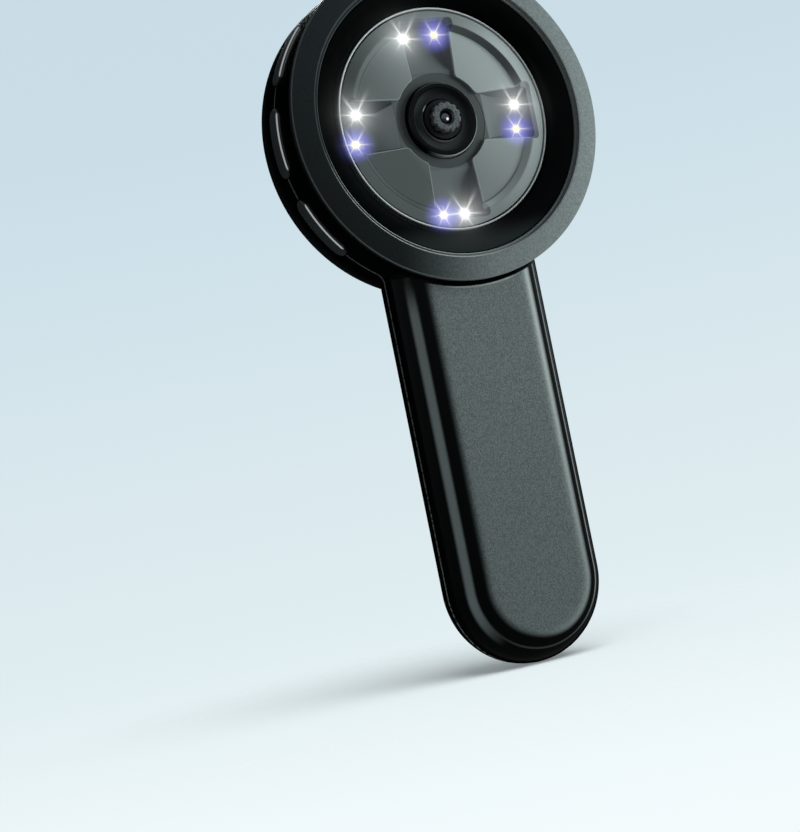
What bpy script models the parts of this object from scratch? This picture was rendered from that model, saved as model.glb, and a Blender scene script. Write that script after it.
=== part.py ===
"""Handheld digital microscope: a round head with a lens and a light well in front and a
round display behind, on a flat grip. Metres, +Z up along the grip, front towards -Y.
The origin is where the hand holds the grip."""

import math

import bmesh
import bpy
import numpy as np

# Housing outline, seen from the front
HEAD_RADIUS = 0.038
HEAD_CENTRE_HEIGHT = 0.082
GRIP_HALF_WIDTH = 0.019
GRIP_REACH = 0.1255
NECK_RADIUS = 0.003
NECK_TAPER_SHARE = 0.8

# Housing depths, measured from the parting plane
RIM_DEPTH = 0.011
GRIP_STEP = 0.0026
REAR_DEPTH = 0.010
GRIP_FRONT_FILLET = 0.0065
GRIP_REAR_FILLET = 0.0095
HEAD_REAR_FILLET = 0.0014
WALL = 0.0018
NECK_GROOVE = 0.0006
NECK_GROOVE_RAMP = 5
REBATE_WALL = 0.0008
LIP_LENGTH = 0.001

# Clearances
SEAT_GAP = 0.0003
SEAM_GAP = 0.0003
BUTTON_GAP = 0.00025
CUT_OVERRUN = 0.002
JOIN_OVERLAP = 0.0005
MERGE_DISTANCE = 0.000001

# Contact ring
RING_EDGE_HEIGHT = 0.0011
RING_EDGE_CHAMFER = 0.0002
RING_RISE = 0.0012
RING_WIDTH = 0.0052
RING_LAND_WIDTH = 0.0004
RING_STEP_DROP = 0.0006
RING_STEP_WIDTH = 0.0008
RING_LIP_HEIGHT = 0.0013
SPIGOT_LENGTH = 0.001
SPIGOT_WALL = 0.0009

# Light funnel, trim ring and reflector plate
FUNNEL_DROP = 0.0028
FUNNEL_RIM_WIDTH = 0.0005
FUNNEL_DISH_WIDTH = 0.0054
FUNNEL_FLOOR_THICKNESS = 0.0005
FUNNEL_DISH_SHARE = 0.55
FUNNEL_FLANGE = 0.0012
FUNNEL_WALL = 0.0017
TRIM_WIDTH = 0.0005
TRIM_PROUD = 0.0002
PLATE_PROUD = 0.0001
PLATE_LAND_WIDTH = 0.0026
PLATE_RIM_THICKNESS = 0.0015
PLATE_RIM_STEP = 0.001
SECTOR_SLOPE = 0.00145
SECTOR_DROP = 0.0012
SECTOR_WALL = 0.0012
HUB_RADIUS = 0.0112
HUB_DROP = 0.0008
CHANNEL_INNER_HALF_WIDTH = 0.0056
CHANNEL_OUTER_HALF_WIDTH = 0.0063
CHANNEL_END_WALL = 0.0019
CHANNEL_CORNER = 0.001
CHANNEL_START_RISE = 0.0001
CHANNEL_FALL = 0.0025
CHANNEL_FALL_POWER = 3
CHANNEL_SIDE_SHARES = (0.1, 0.3, 0.6)
CHANNEL_DRAFT_SHARE = 0.5
CHANNEL_END_DRAFT_SHARE = 0.3
CHANNEL_FLOOR_CORNER_SHARE = 0.6
CHANNEL_LEAD_SHARE = 0.8
CHANNEL_FLOOR = 0.001
RIB_BETWEEN = 0.0016

# Lens, its collar and the camera
LENS_HEAD_RADIUS = 0.0036
LENS_HEAD_HEIGHT = 0.0018
LENS_PROUD = 0.0021
LENS_SCALLOPS = 12
LENS_SCALLOP_STEPS = 4
LENS_SCALLOP_DEPTH = 0.00035
LENS_CHAMFER = 0.00025
LENS_THREAD_RADIUS = 0.0032
LENS_MOUTH_RADIUS = 0.0019
LENS_BORE_RADIUS = 0.0015
LENS_STOP_RADIUS = 0.0011
LENS_MOUTH_DEPTH = 0.0006
LENS_GLASS_LENGTH = 0.0013
LENS_GLASS_CROWN = 0.0004
COLLAR_RADIUS = 0.0087
COLLAR_EDGE = 0.0008
COLLAR_DISH = 0.0007
COLLAR_LIP = 0.0004
COLLAR_HEIGHT = 0.0034
HOLDER_HALF_SIDE = 0.0055
HOLDER_BASE_HEIGHT = 0.0023
HOLDER_TUBE_RADIUS = 0.0046
HOLDER_ROOM_HALF_SIDE = 0.0042
HOLDER_ROOM_DEPTH = 0.0011
SENSOR_HALF_SIZE = (0.0035, 0.0032)
SENSOR_THICKNESS = 0.0008
CAMERA_BOARD_HALF_SIZE = (0.0105, 0.0100)
BOARD_CORNER = 0.001
BOARD_THICKNESS = 0.001

# LEDs and their ring board
LED_SETBACK = 0.0028
LED_OFFSET = 0.0034
LED_HALF_SIZE = (0.00175, 0.0014)
LED_HEIGHT = 0.0019
LED_CUP_SHARES = (0.72, 0.12)
LED_BOARD_MARGIN = 0.0002
LED_BOARD_BORE_GAP = 0.0006

# Buttons and switches. Their pitch is measured round the head's rim
BUTTON_PITCH = 0.02155
BUTTON_HALF_LENGTH = 0.008
BUTTON_HALF_WIDTH = 0.00225
BUTTON_PROUD = 0.0005
BUTTON_EDGE = 0.0004
BUTTON_FLANGE = 0.0008
BUTTON_FLANGE_THICKNESS = 0.001
BUTTON_NUB_HALF_LENGTH = 0.0018
BUTTON_NUB_HALF_WIDTH = 0.0009
BUTTON_NUB_HEIGHT = 0.0007
BUTTON_TRAVEL = 0.0003
TRAVEL_CLEARANCE = 0.00005
SWITCH_HALF_LENGTH = 0.00235
SWITCH_LENGTH = 0.0033
SWITCH_HEIGHT = 0.0034
SWITCH_PLUNGER_HALF_SIZE = (0.0012, 0.0007)
SWITCH_PLUNGER_LENGTH = 0.0009

# Main board and what it carries
MAIN_BOARD_MARGIN = 0.0032
PROCESSOR_SIDE = -0.011
PROCESSOR_HALF_SIZE = (0.005, 0.005)
MEMORY_SIDE = 0.010
MEMORY_HALF_SIZE = (0.004, 0.003)
CHIP_HEIGHT = 0.0009
CHIP_CHAMFER = 0.0002
CHIP_BOSS_GAP = 0.0019
USB_HALF_WIDTH = 0.00447
USB_HEIGHT = 0.0032
USB_LENGTH = 0.0076
USB_RECESS = 0.0006
USB_SHEET = 0.0003
USB_ROOM_LENGTH = 0.006
USB_TONGUE_HALF_SIZE = (0.00335, 0.00035)
USB_TONGUE_LENGTH = 0.005
USB_OPENING_GAP = 0.00035
FLEX_THICKNESS = 0.0002
CAMERA_FLEX_HALF_WIDTH = 0.003
CAMERA_FLEX_START = 0.0028
CAMERA_FLEX_RISE = 0.0036
FLEX_CONNECTOR_HALF_SIZE = (0.0042, 0.0016)
FLEX_CONNECTOR_HEIGHT = 0.001
FLEX_CONNECTOR_DISTANCE = 0.010

# Display
GLASS_BORDER = 0.005
GLASS_THICKNESS = 0.001
GLASS_CHAMFER = 0.0003
BACK_WALL = 0.0013
DISPLAY_MARGIN = 0.0035
DISPLAY_DIAGONAL_ANGLE = math.radians(36)
DISPLAY_BORDERS = (0.0035, 0.002)
DISPLAY_THICKNESS = 0.0022
DISPLAY_ACTIVE_DROP = 0.0002
DISPLAY_CORNER = 0.0008
WINDOW_MARGIN = 0.0008
GASKET_THICKNESS = 0.0005
GASKET_INSET = 0.0004
DISPLAY_FLEX_HALF_WIDTH = 0.009
DISPLAY_FLEX_DROP = 0.0035

# Screws and their posts
SCREW_ANGLE = 56.0
SCREW_HEAD_RADIUS = 0.002
SCREW_HEAD_HEIGHT = 0.001
SCREW_HEAD_CHAMFER = 0.0003
SCREW_SHANK_RADIUS = 0.0011
SCREW_TIP_RADIUS = 0.0006
SCREW_LENGTH = 0.0085
SCREW_SOCKET_RADIUS = 0.0009
SCREW_SOCKET_DEPTH = 0.0006
SCREW_SEAT_WALL = 0.0018
BOSS_RADIUS = 0.0032
BOSS_SPIGOT_RADIUS = 0.0021
POST_RADIUS = 0.0034

# Battery and its leads
BATTERY_HALF_WIDTH = 0.012
BATTERY_THICKNESS = 0.008
BATTERY_END_GAP = 0.016
BATTERY_LEAD_ROOM = 0.0228
BATTERY_EDGE = 0.0025
PAD_HALF_WIDTH = 0.0095
PAD_END_MARGIN = 0.007
PAD_THICKNESS = 0.0012
PROTECTION_HALF_WIDTH = 0.009
PROTECTION_LENGTH = 0.0035
BATTERY_CONNECTOR_MARGIN = 0.0065
BATTERY_CONNECTOR_HALF_SIZE = (0.0032, 0.0022)
BATTERY_CONNECTOR_HEIGHT = 0.0034
LEAD_RADIUS = 0.0005
LEAD_SPACING = 0.002
LEAD_SAG = 0.0015
RIB_COUNT = 3
RIB_THICKNESS = 0.0012
RIB_HALF_WIDTH = 0.0125

# Mesh fineness
TURN_STEPS = 40
SMALL_TURN_STEPS = 20
COLLAR_STEPS = 28
HEAD_STEPS = 16
NECK_STEPS = 3
SIDE_STEPS = 1
END_STEPS = 8
FILLET_STEPS = 4
CORNER_STEPS = 2
DISH_STEPS = 5
BUTTON_STEPS = 9
LEAD_STEPS = 10
FLEX_STEPS = 4
SHARP_ANGLE = math.radians(35)

# Places worked out from the sizes above
SEAM = SEAM_GAP / 2
WALL_RADIUS = HEAD_RADIUS - WALL
GRIP_FRONT_DEPTH = RIM_DEPTH - GRIP_STEP
LIP_INSET = REBATE_WALL + SEAT_GAP
REBATE_DEPTH = LIP_LENGTH + SEAT_GAP
SHELL_FRONT = RIM_DEPTH - RING_EDGE_HEIGHT - SEAT_GAP
RING_INNER_RADIUS = HEAD_RADIUS - RING_WIDTH
RING_TOP = RIM_DEPTH + RING_RISE
RING_BORE = RING_INNER_RADIUS - RING_STEP_WIDTH
RING_STEP_DEPTH = RING_TOP - RING_STEP_DROP
FUNNEL_RADIUS = RING_BORE - SEAT_GAP
FUNNEL_TOP = RING_STEP_DEPTH - SEAT_GAP
FUNNEL_BORE = FUNNEL_RADIUS - FUNNEL_DISH_WIDTH
DISH_FLOOR = FUNNEL_TOP - FUNNEL_DROP
TRIM_RADIUS = FUNNEL_BORE - SEAT_GAP
PLATE_RADIUS = TRIM_RADIUS - TRIM_WIDTH - SEAT_GAP
PLATE_LAND_DEPTH = DISH_FLOOR + PLATE_PROUD
PLATE_BODY_RADIUS = PLATE_RADIUS - PLATE_RIM_STEP
PLATE_RIM_BACK = PLATE_LAND_DEPTH - PLATE_RIM_THICKNESS
FUNNEL_FLANGE_DEPTH = PLATE_RIM_BACK - SEAT_GAP
FUNNEL_BACK = FUNNEL_FLANGE_DEPTH - FUNNEL_FLANGE
FUNNEL_NECK_RADIUS = FUNNEL_BORE + FUNNEL_WALL
FUNNEL_SHOULDER = DISH_FLOOR - FUNNEL_FLOOR_THICKNESS
FLOOR_FRONT = FUNNEL_SHOULDER - SEAT_GAP
GRIP_INNER_FRONT = GRIP_FRONT_DEPTH - WALL
FLOOR_BACK = GRIP_INNER_FRONT
SECTOR_OUTER_RADIUS = PLATE_RADIUS - PLATE_LAND_WIDTH
SECTOR_DEPTH = PLATE_LAND_DEPTH - SECTOR_DROP
HUB_DEPTH = SECTOR_DEPTH - HUB_DROP
CHANNEL_END_RADIUS = PLATE_RADIUS - CHANNEL_END_WALL
CHANNEL_START_DEPTH = HUB_DEPTH + CHANNEL_START_RISE
CHANNEL_END_DEPTH = CHANNEL_START_DEPTH - CHANNEL_FALL
CHANNEL_HEIGHT = SECTOR_DEPTH - CHANNEL_END_DEPTH
CHANNEL_DRAFT = CHANNEL_HEIGHT * CHANNEL_DRAFT_SHARE
PLATE_BACK = CHANNEL_END_DEPTH - CHANNEL_FLOOR
LED_RADIUS = CHANNEL_END_RADIUS - LED_SETBACK
LED_BOARD_RADIUS = PLATE_BODY_RADIUS - LED_BOARD_MARGIN
LED_BOARD_BORE = HOLDER_HALF_SIDE * math.sqrt(2) + LED_BOARD_BORE_GAP
LED_BOARD_FRONT = PLATE_BACK - SEAT_GAP
LED_BOARD_BACK = LED_BOARD_FRONT - BOARD_THICKNESS
CAMERA_BOARD_FRONT = LED_BOARD_BACK - SEAT_GAP
CAMERA_BOARD_BACK = CAMERA_BOARD_FRONT - BOARD_THICKNESS
HOLDER_BACK = CAMERA_BOARD_FRONT + SEAT_GAP
HOLDER_SHOULDER = HOLDER_BACK + HOLDER_BASE_HEIGHT
COLLAR_BACK = HOLDER_SHOULDER + SEAT_GAP
COLLAR_FRONT = COLLAR_BACK + COLLAR_HEIGHT
COLLAR_BORE = HOLDER_TUBE_RADIUS + SEAT_GAP
LENS_TOP_DEPTH = COLLAR_FRONT + LENS_PROUD
LENS_HEAD_BACK = LENS_TOP_DEPTH - LENS_HEAD_HEIGHT
HOLDER_TOP = LENS_HEAD_BACK - SEAT_GAP
LENS_BACK = HOLDER_BACK + HOLDER_ROOM_DEPTH + SEAT_GAP
RECESS_FLOOR = REAR_DEPTH - GLASS_THICKNESS - SEAT_GAP
GLASS_RADIUS = HEAD_RADIUS - GLASS_BORDER
RECESS_RADIUS = GLASS_RADIUS + SEAT_GAP
INNER_BACK = RECESS_FLOOR - BACK_WALL
GASKET_BACK = INNER_BACK - SEAT_GAP
GASKET_FRONT = GASKET_BACK - GASKET_THICKNESS
DISPLAY_DIAGONAL = GLASS_RADIUS - DISPLAY_MARGIN
DISPLAY_HALF_WIDTH = DISPLAY_DIAGONAL * math.cos(DISPLAY_DIAGONAL_ANGLE)
DISPLAY_HALF_HEIGHT = DISPLAY_DIAGONAL * math.sin(DISPLAY_DIAGONAL_ANGLE)
ACTIVE_HALF_WIDTH = DISPLAY_HALF_WIDTH - DISPLAY_BORDERS[0]
ACTIVE_HALF_HEIGHT = DISPLAY_HALF_HEIGHT - DISPLAY_BORDERS[1]
DISPLAY_BACK = GASKET_FRONT - SEAT_GAP
DISPLAY_FRONT = DISPLAY_BACK - DISPLAY_THICKNESS
MAIN_BOARD_RADIUS = WALL_RADIUS - MAIN_BOARD_MARGIN
MAIN_BOARD_BACK = DISPLAY_FRONT - SEAT_GAP - FLEX_THICKNESS - SEAT_GAP
MAIN_BOARD_FRONT = MAIN_BOARD_BACK - BOARD_THICKNESS
PARTS_BACK = MAIN_BOARD_FRONT - SEAT_GAP
SCREW_CIRCLE_RADIUS = FUNNEL_NECK_RADIUS + SEAT_GAP + BOSS_RADIUS
SCREW_SEAT = INNER_BACK
POST_END = SCREW_SEAT - SCREW_SEAT_WALL
BOSS_END = POST_END - SEAT_GAP
FLANGE_OUTER = WALL_RADIUS - SEAT_GAP
FLANGE_INNER = FLANGE_OUTER - BUTTON_FLANGE_THICKNESS
NUB_RADIUS = FLANGE_INNER - BUTTON_NUB_HEIGHT
PLUNGER_TIP = NUB_RADIUS - BUTTON_TRAVEL - TRAVEL_CLEARANCE
SWITCH_FRONT_RADIUS = PLUNGER_TIP - SWITCH_PLUNGER_LENGTH
USB_MOUTH = HEAD_RADIUS - USB_RECESS
USB_CENTRE = PARTS_BACK - USB_HEIGHT / 2
GRIP_END_CENTRE = GRIP_HALF_WIDTH - GRIP_REACH
BATTERY_BOTTOM = BATTERY_END_GAP - GRIP_REACH
BATTERY_CONNECTOR_PLACE = BATTERY_CONNECTOR_MARGIN - MAIN_BOARD_RADIUS
CONNECTOR_BOTTOM = BATTERY_CONNECTOR_PLACE - BATTERY_CONNECTOR_HALF_SIZE[1]
FLEX_CONNECTOR_PLACE = BATTERY_CONNECTOR_PLACE + FLEX_CONNECTOR_DISTANCE
BATTERY_TOP = CONNECTOR_BOTTOM - BATTERY_LEAD_ROOM
BATTERY_LENGTH = BATTERY_TOP - BATTERY_BOTTOM
PAD_BACK = INNER_BACK - SEAT_GAP
BATTERY_BACK = PAD_BACK - PAD_THICKNESS - SEAT_GAP
BATTERY_FRONT = BATTERY_BACK - BATTERY_THICKNESS
CHIP_TOP = SCREW_CIRCLE_RADIUS * math.sin(math.radians(SCREW_ANGLE)) - BOSS_RADIUS - CHIP_BOSS_GAP

# Angles in degrees from +X, counter-clockwise from the front
BUTTON_STEP = math.degrees(BUTTON_PITCH / HEAD_RADIUS)
BUTTON_ANGLES = {"upper": 180 - BUTTON_STEP, "middle": 180, "lower": 180 + BUTTON_STEP}
SCREW_ANGLES = {
    "upper_right": SCREW_ANGLE,
    "upper_left": 180 - SCREW_ANGLE,
    "lower_left": 180 + SCREW_ANGLE,
    "lower_right": -SCREW_ANGLE,
}

# Each LED pair: angle of its channel, and which LED lies clockwise
LED_PAIRS = {
    "top": (90, "uv"),
    "right": (0, "uv"),
    "bottom": (270, "uv"),
    "left": (180, "white"),
}

MATERIALS = {
    "shell_plastic": ((0.010, 0.013, 0.013, 1), 0.35, 0),
    "matt_plastic": ((0.035, 0.042, 0.042, 1), 0.6, 0),
    "gloss_black": ((0.003, 0.003, 0.004, 1), 0.12, 0),
    "reflector_grey": ((0.13, 0.15, 0.155, 1), 0.45, 0),
    "bright_metal": ((0.70, 0.72, 0.73, 1), 0.2, 1),
    "black_metal": ((0.09, 0.10, 0.105, 1), 0.4, 0.6),
    "optical_glass": ((0.02, 0.02, 0.03, 1), 0.03, 0),
    "button_rubber": ((0.014, 0.018, 0.019, 1), 0.5, 0),
    "white_led": ((0.95, 0.97, 1.0, 1), 0.3, 0),
    "uv_led": ((0.45, 0.40, 1.0, 1), 0.3, 0),
    "board_green": ((0.02, 0.12, 0.05, 1), 0.45, 0),
    "chip_black": ((0.02, 0.02, 0.022, 1), 0.5, 0),
    "steel": ((0.6, 0.6, 0.62, 1), 0.3, 1),
    "flex_amber": ((0.45, 0.22, 0.04, 1), 0.4, 0),
    "display_glass": ((0.004, 0.004, 0.005, 1), 0.05, 0),
    "foam": ((0.03, 0.03, 0.03, 1), 0.95, 0),
    "battery_foil": ((0.65, 0.66, 0.68, 1), 0.35, 0.8),
    "lead_red": ((0.5, 0.02, 0.02, 1), 0.45, 0),
    "lead_black": ((0.01, 0.01, 0.01, 1), 0.45, 0),
}


def clear_scene():
    for obj in list(bpy.data.objects):
        bpy.data.objects.remove(obj, do_unlink=True)


def make_materials():
    """One Principled material for each finish."""
    for name, (colour, roughness, metallic) in MATERIALS.items():
        material = bpy.data.materials.new(name)
        material.use_nodes = True
        shader = material.node_tree.nodes["Principled BSDF"]
        shader.inputs["Base Color"].default_value = colour
        shader.inputs["Roughness"].default_value = roughness
        shader.inputs["Metallic"].default_value = metallic


def add_empty(name, height):
    empty = bpy.data.objects.new(name, None)
    empty.location = (0, 0, height)
    bpy.context.collection.objects.link(empty)
    return empty


def add_object(name, mesh, material=None, angle=0.0):
    """Places a mesh on the head's axis, turned counter-clockwise by an angle in degrees."""
    obj = bpy.data.objects.new(name, mesh)
    bpy.context.collection.objects.link(obj)
    obj.parent = bpy.data.objects["head_axis"]
    obj.rotation_euler = (0, -math.radians(angle), 0)
    if material:
        obj.data.materials.append(bpy.data.materials[material])
    else:
        obj.hide_render = True
        obj.display_type = "WIRE"
    return obj


def mesh_from(name, solids):
    """A mesh of closed solids, each a list of points and a list of faces."""
    build = bmesh.new()
    for points, faces in solids:
        verts = [build.verts.new(point) for point in points]
        for face in faces:
            build.faces.new([verts[index] for index in face])
    bmesh.ops.remove_doubles(build, verts=build.verts, dist=MERGE_DISTANCE)
    bmesh.ops.recalc_face_normals(build, faces=build.faces)
    mesh = bpy.data.meshes.new(name)
    build.to_mesh(mesh)
    build.free()
    mesh.shade_smooth()
    mesh.set_sharp_from_angle(angle=SHARP_ANGLE)
    return mesh


def skin(loops, closed=False, caps=True):
    """A solid from loops of equal count. A closed chain joins its last loop to its first."""
    loops = np.array(loops, float)
    rows, count = loops.shape[:2]
    faces = []
    for row in range(rows if closed else rows - 1):
        start = row * count
        after = (row + 1) % rows * count
        for index in range(count):
            beside = (index + 1) % count
            faces.append((start + index, start + beside, after + beside, after + index))
    if caps and not closed:
        faces.append(tuple(range(count)))
        faces.append(tuple(range((rows - 1) * count, rows * count)))
    return loops.reshape(-1, 3), faces


def polar(radius, angles):
    angles = np.asarray(angles, float)
    return np.stack([radius * np.cos(angles), radius * np.sin(angles)], axis=-1)


def lay(outline, depth):
    """Puts an outline of (x, z) points at a depth. A depth is positive towards the front."""
    outline = np.asarray(outline, float)
    depths = np.broadcast_to(-np.asarray(depth, float), len(outline))
    return np.stack([outline[:, 0], depths, outline[:, 1]], axis=-1)


def circle(radius, steps):
    return polar(radius, np.arange(steps) * 2 * math.pi / steps)


def rounded_rectangle(half_width, half_height, corner, centre=(0, 0)):
    """An outline counter-clockwise from the right side."""
    points = []
    for quarter, (side_x, side_z) in enumerate(((1, 1), (-1, 1), (-1, -1), (1, -1))):
        middle = (side_x * (half_width - corner), side_z * (half_height - corner))
        angles = np.linspace(0, math.pi / 2, CORNER_STEPS + 1) + quarter * math.pi / 2
        points.extend(polar(corner, angles) + middle)
    return np.array(points) + centre


def turned(profile, steps=TURN_STEPS):
    """A solid of revolution about the head's axis. The profile holds (radius, depth) points:
    a closed chain for a ring, or one that starts and ends on the axis."""
    on_axis = profile[0][0] == 0
    loops = [lay(circle(radius, steps), depth) for radius, depth in profile]
    return skin(loops, closed=not on_axis, caps=False)


def arc_profile(centre, radius, start, end, steps):
    """Profile points on an arc, with angles in degrees: 0 is outwards, 90 is to the front."""
    angles = np.radians(np.linspace(start, end, steps + 1))
    return [tuple(point) for point in polar(radius, angles) + np.array(centre)]


def block(outline, back, front, chamfer=0.0, inner=None):
    """A prism between two depths, with an optional chamfer to a smaller front outline."""
    loops = [lay(outline, back), lay(outline, front - chamfer)]
    if inner is not None:
        loops.append(lay(inner, front))
    return skin(loops)


def box(half_size, back, front, centre=(0, 0)):
    half_width, half_height = half_size
    corners = [(-1, -1), (1, -1), (1, 1), (-1, 1)]
    outline = [(x * half_width, z * half_height) for x, z in corners]
    return block(np.array(outline) + centre, back, front)


def chamfered_box(half_size, back, front, chamfer, centre=(0, 0)):
    half_width, half_height = half_size
    outer = rounded_rectangle(half_width, half_height, chamfer, centre)
    inner = rounded_rectangle(half_width - chamfer, half_height - chamfer, chamfer / 2, centre)
    return block(outer, back, front, chamfer, inner)


def moved_solid(solid, place):
    """The same solid, moved by an (x, z) place."""
    points, faces = solid
    return points + np.array([place[0], 0, place[1]]), faces


def change(target, tool, operation):
    """Joins a tool to a target, or cuts it out of the target."""
    modifier = target.modifiers.new(tool.name, "BOOLEAN")
    modifier.operation = operation
    modifier.object = tool
    modifier.solver = "EXACT"


def junction_angle(head_inset, grip_inset, neck_radius):
    """Where the neck's fillet meets the head's circle."""
    across = GRIP_HALF_WIDTH - grip_inset + neck_radius
    return -math.acos(across / (HEAD_RADIUS - head_inset + neck_radius))


def mirrored(half):
    """The whole outline from its right half, which runs from the top to the bottom."""
    left = half[-2:0:-1] * (-1, 1)
    return np.concatenate([half, left])


def body_outline(head_inset, grip_inset, neck_radius):
    """Head circle, neck fillets, straight sides and round end, each drawn in by its inset."""
    radius = HEAD_RADIUS - head_inset
    half_width = GRIP_HALF_WIDTH - grip_inset
    angle = junction_angle(head_inset, grip_inset, neck_radius)
    centre = polar(radius + neck_radius, angle)
    head = polar(radius, np.linspace(math.pi / 2, angle, HEAD_STEPS + 1))
    turn = np.linspace(angle + math.pi, math.pi, NECK_STEPS + 1)[1:]
    neck = centre + polar(neck_radius, turn)
    heights = np.linspace(centre[1], GRIP_END_CENTRE, SIDE_STEPS + 1)[1:]
    side = np.stack([np.full(SIDE_STEPS, half_width), heights], axis=-1)
    end = polar(half_width, np.linspace(0, -math.pi / 2, END_STEPS + 1)[1:])
    return mirrored(np.concatenate([head, neck, side, end + (0, GRIP_END_CENTRE)]))


def disc_outline(radius, angle, under_offset=0.0, ramp=1):
    """A circle with its points shared out as in body_outline. Under the neck, past the
    junction angle, its radius grows to an offset over a ramp of points."""
    rest = NECK_STEPS + SIDE_STEPS + END_STEPS
    head = polar(radius, np.linspace(math.pi / 2, angle, HEAD_STEPS + 1))
    under = np.linspace(angle, -math.pi / 2, rest + 1)[1:]
    grown = radius + under_offset * ramp_shares(rest, ramp)
    lower = np.stack([grown * np.cos(under), grown * np.sin(under)], axis=-1)
    return mirrored(np.concatenate([head, lower]))


def ramp_shares(count, ramp):
    return np.minimum(np.arange(1, count + 1) / ramp, 1)


def groove_depths(base, drop):
    """Depths round a disc outline that drop under the neck only."""
    rest = NECK_STEPS + SIDE_STEPS + END_STEPS
    right = np.concatenate([np.zeros(HEAD_STEPS + 1), ramp_shares(rest, NECK_GROOVE_RAMP)])
    whole = np.concatenate([right, right[-2:0:-1]])
    return base - drop * whole


def grip_levels(depth, fillet, neck_extra, start):
    """Depth, inset and neck radius at each level of a filleted edge, from the parting
    plane outwards. A fillet never reaches past the parting plane."""
    fillet = min(fillet, depth - start)
    levels = []
    for turn in np.linspace(0, math.pi / 2, FILLET_STEPS + 1):
        level = depth - fillet + fillet * math.sin(turn)
        neck = NECK_RADIUS * (1 - NECK_TAPER_SHARE * math.sin(turn)) + neck_extra
        levels.append((level, fillet * (1 - math.cos(turn)), neck))
    if levels[0][0] > start + SEAT_GAP:
        levels.insert(0, (start, 0.0, levels[0][2]))
    return levels


def front_shell_solid():
    """Outer skin from the parting plane to the head's front edge, then back along the
    inside, over the floor that carries the light funnel, to a rebate at the parting plane."""
    outer = grip_levels(GRIP_FRONT_DEPTH, GRIP_FRONT_FILLET, 0, SEAM)
    inner = grip_levels(GRIP_INNER_FRONT, GRIP_FRONT_FILLET - WALL, WALL, REBATE_DEPTH)
    loops = [lay(body_outline(0, inset, neck), level) for level, inset, neck in outer]
    angle = junction_angle(0, outer[-1][1], outer[-1][2])
    edge = disc_outline(HEAD_RADIUS, angle, NECK_GROOVE, NECK_GROOVE_RAMP)
    rim = disc_outline(HEAD_RADIUS, angle)
    loops.append(lay(edge, GRIP_FRONT_DEPTH))
    loops.append(lay(rim, groove_depths(GRIP_FRONT_DEPTH, NECK_GROOVE)))
    loops.append(lay(rim, SHELL_FRONT))
    inner_angle = junction_angle(WALL, WALL + inner[-1][1], inner[-1][2])
    bore = disc_outline(WALL_RADIUS, inner_angle)
    floor_bore = disc_outline(FUNNEL_NECK_RADIUS + SEAT_GAP, inner_angle)
    loops.append(lay(bore, SHELL_FRONT))
    loops.append(lay(bore, FLOOR_FRONT))
    loops.append(lay(floor_bore, FLOOR_FRONT))
    loops.append(lay(floor_bore, FLOOR_BACK))
    loops.append(lay(bore, FLOOR_BACK))
    for level, inset, neck in reversed(inner):
        loops.append(lay(body_outline(WALL, WALL + inset, neck), level))
    rebate = body_outline(REBATE_WALL, REBATE_WALL, NECK_RADIUS + REBATE_WALL)
    loops.extend([lay(rebate, REBATE_DEPTH), lay(rebate, SEAM)])
    return skin(loops, closed=True)


def rear_head_inset(level):
    """How far the head's rear fillet draws in at a level."""
    past = max(level - (REAR_DEPTH - HEAD_REAR_FILLET), 0)
    return HEAD_REAR_FILLET - math.sqrt(max(HEAD_REAR_FILLET**2 - past**2, 0))


def rear_shell_solid():
    """From the centre of the glass recess over the outer skin, round the lip that stands
    in the front shell's rebate, and back inside."""
    outer = grip_levels(REAR_DEPTH, GRIP_REAR_FILLET, 0, SEAM)
    inner = grip_levels(INNER_BACK, GRIP_REAR_FILLET - WALL, WALL, SEAM)
    last_inset, last_neck = outer[-1][1:]
    angle = junction_angle(HEAD_REAR_FILLET, last_inset, last_neck)
    recess = disc_outline(RECESS_RADIUS, angle)
    loops = [lay(recess * 0, -RECESS_FLOOR), lay(recess, -RECESS_FLOOR), lay(recess, -REAR_DEPTH)]
    for level, inset, neck in reversed(outer):
        loops.append(lay(body_outline(rear_head_inset(level), inset, neck), -level))
    lip = body_outline(LIP_INSET, LIP_INSET, NECK_RADIUS + LIP_INSET)
    lip_inside = body_outline(WALL, WALL, NECK_RADIUS + WALL)
    loops.extend([lay(lip, -SEAM), lay(lip, LIP_LENGTH), lay(lip_inside, LIP_LENGTH)])
    for level, inset, neck in inner:
        loops.append(lay(body_outline(WALL, WALL + inset, neck), -level))
    inner_angle = junction_angle(WALL, WALL + inner[-1][1], inner[-1][2])
    floor = disc_outline(WALL_RADIUS, inner_angle)
    loops.extend([lay(floor, -INNER_BACK), lay(floor * 0, -INNER_BACK)])
    return skin(loops, caps=False)


def at_screws(make_solid):
    """The same solid at each screw's place."""
    places = [polar(SCREW_CIRCLE_RADIUS, math.radians(a)) for a in SCREW_ANGLES.values()]
    return [moved_solid(make_solid(), place) for place in places]


def boss_solid():
    """A post that stands on the front floor: a shoulder for the board, then a spigot with
    a blind hole for the screw."""
    shoulder = -MAIN_BOARD_FRONT + SEAT_GAP
    hole = SCREW_SHANK_RADIUS + SEAT_GAP
    hole_end = SCREW_LENGTH - SCREW_SEAT + SEAT_GAP
    profile = [
        (0, FLOOR_BACK + JOIN_OVERLAP),
        (BOSS_RADIUS, FLOOR_BACK + JOIN_OVERLAP),
        (BOSS_RADIUS, shoulder),
        (BOSS_SPIGOT_RADIUS, shoulder),
        (BOSS_SPIGOT_RADIUS, -BOSS_END),
        (hole, -BOSS_END),
        (hole, hole_end),
        (0, hole_end),
    ]
    return turned(profile, SMALL_TURN_STEPS)


def rod_solid(radius, back, front, steps=SMALL_TURN_STEPS):
    return turned([(0, back), (radius, back), (radius, front), (0, front)], steps)


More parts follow.
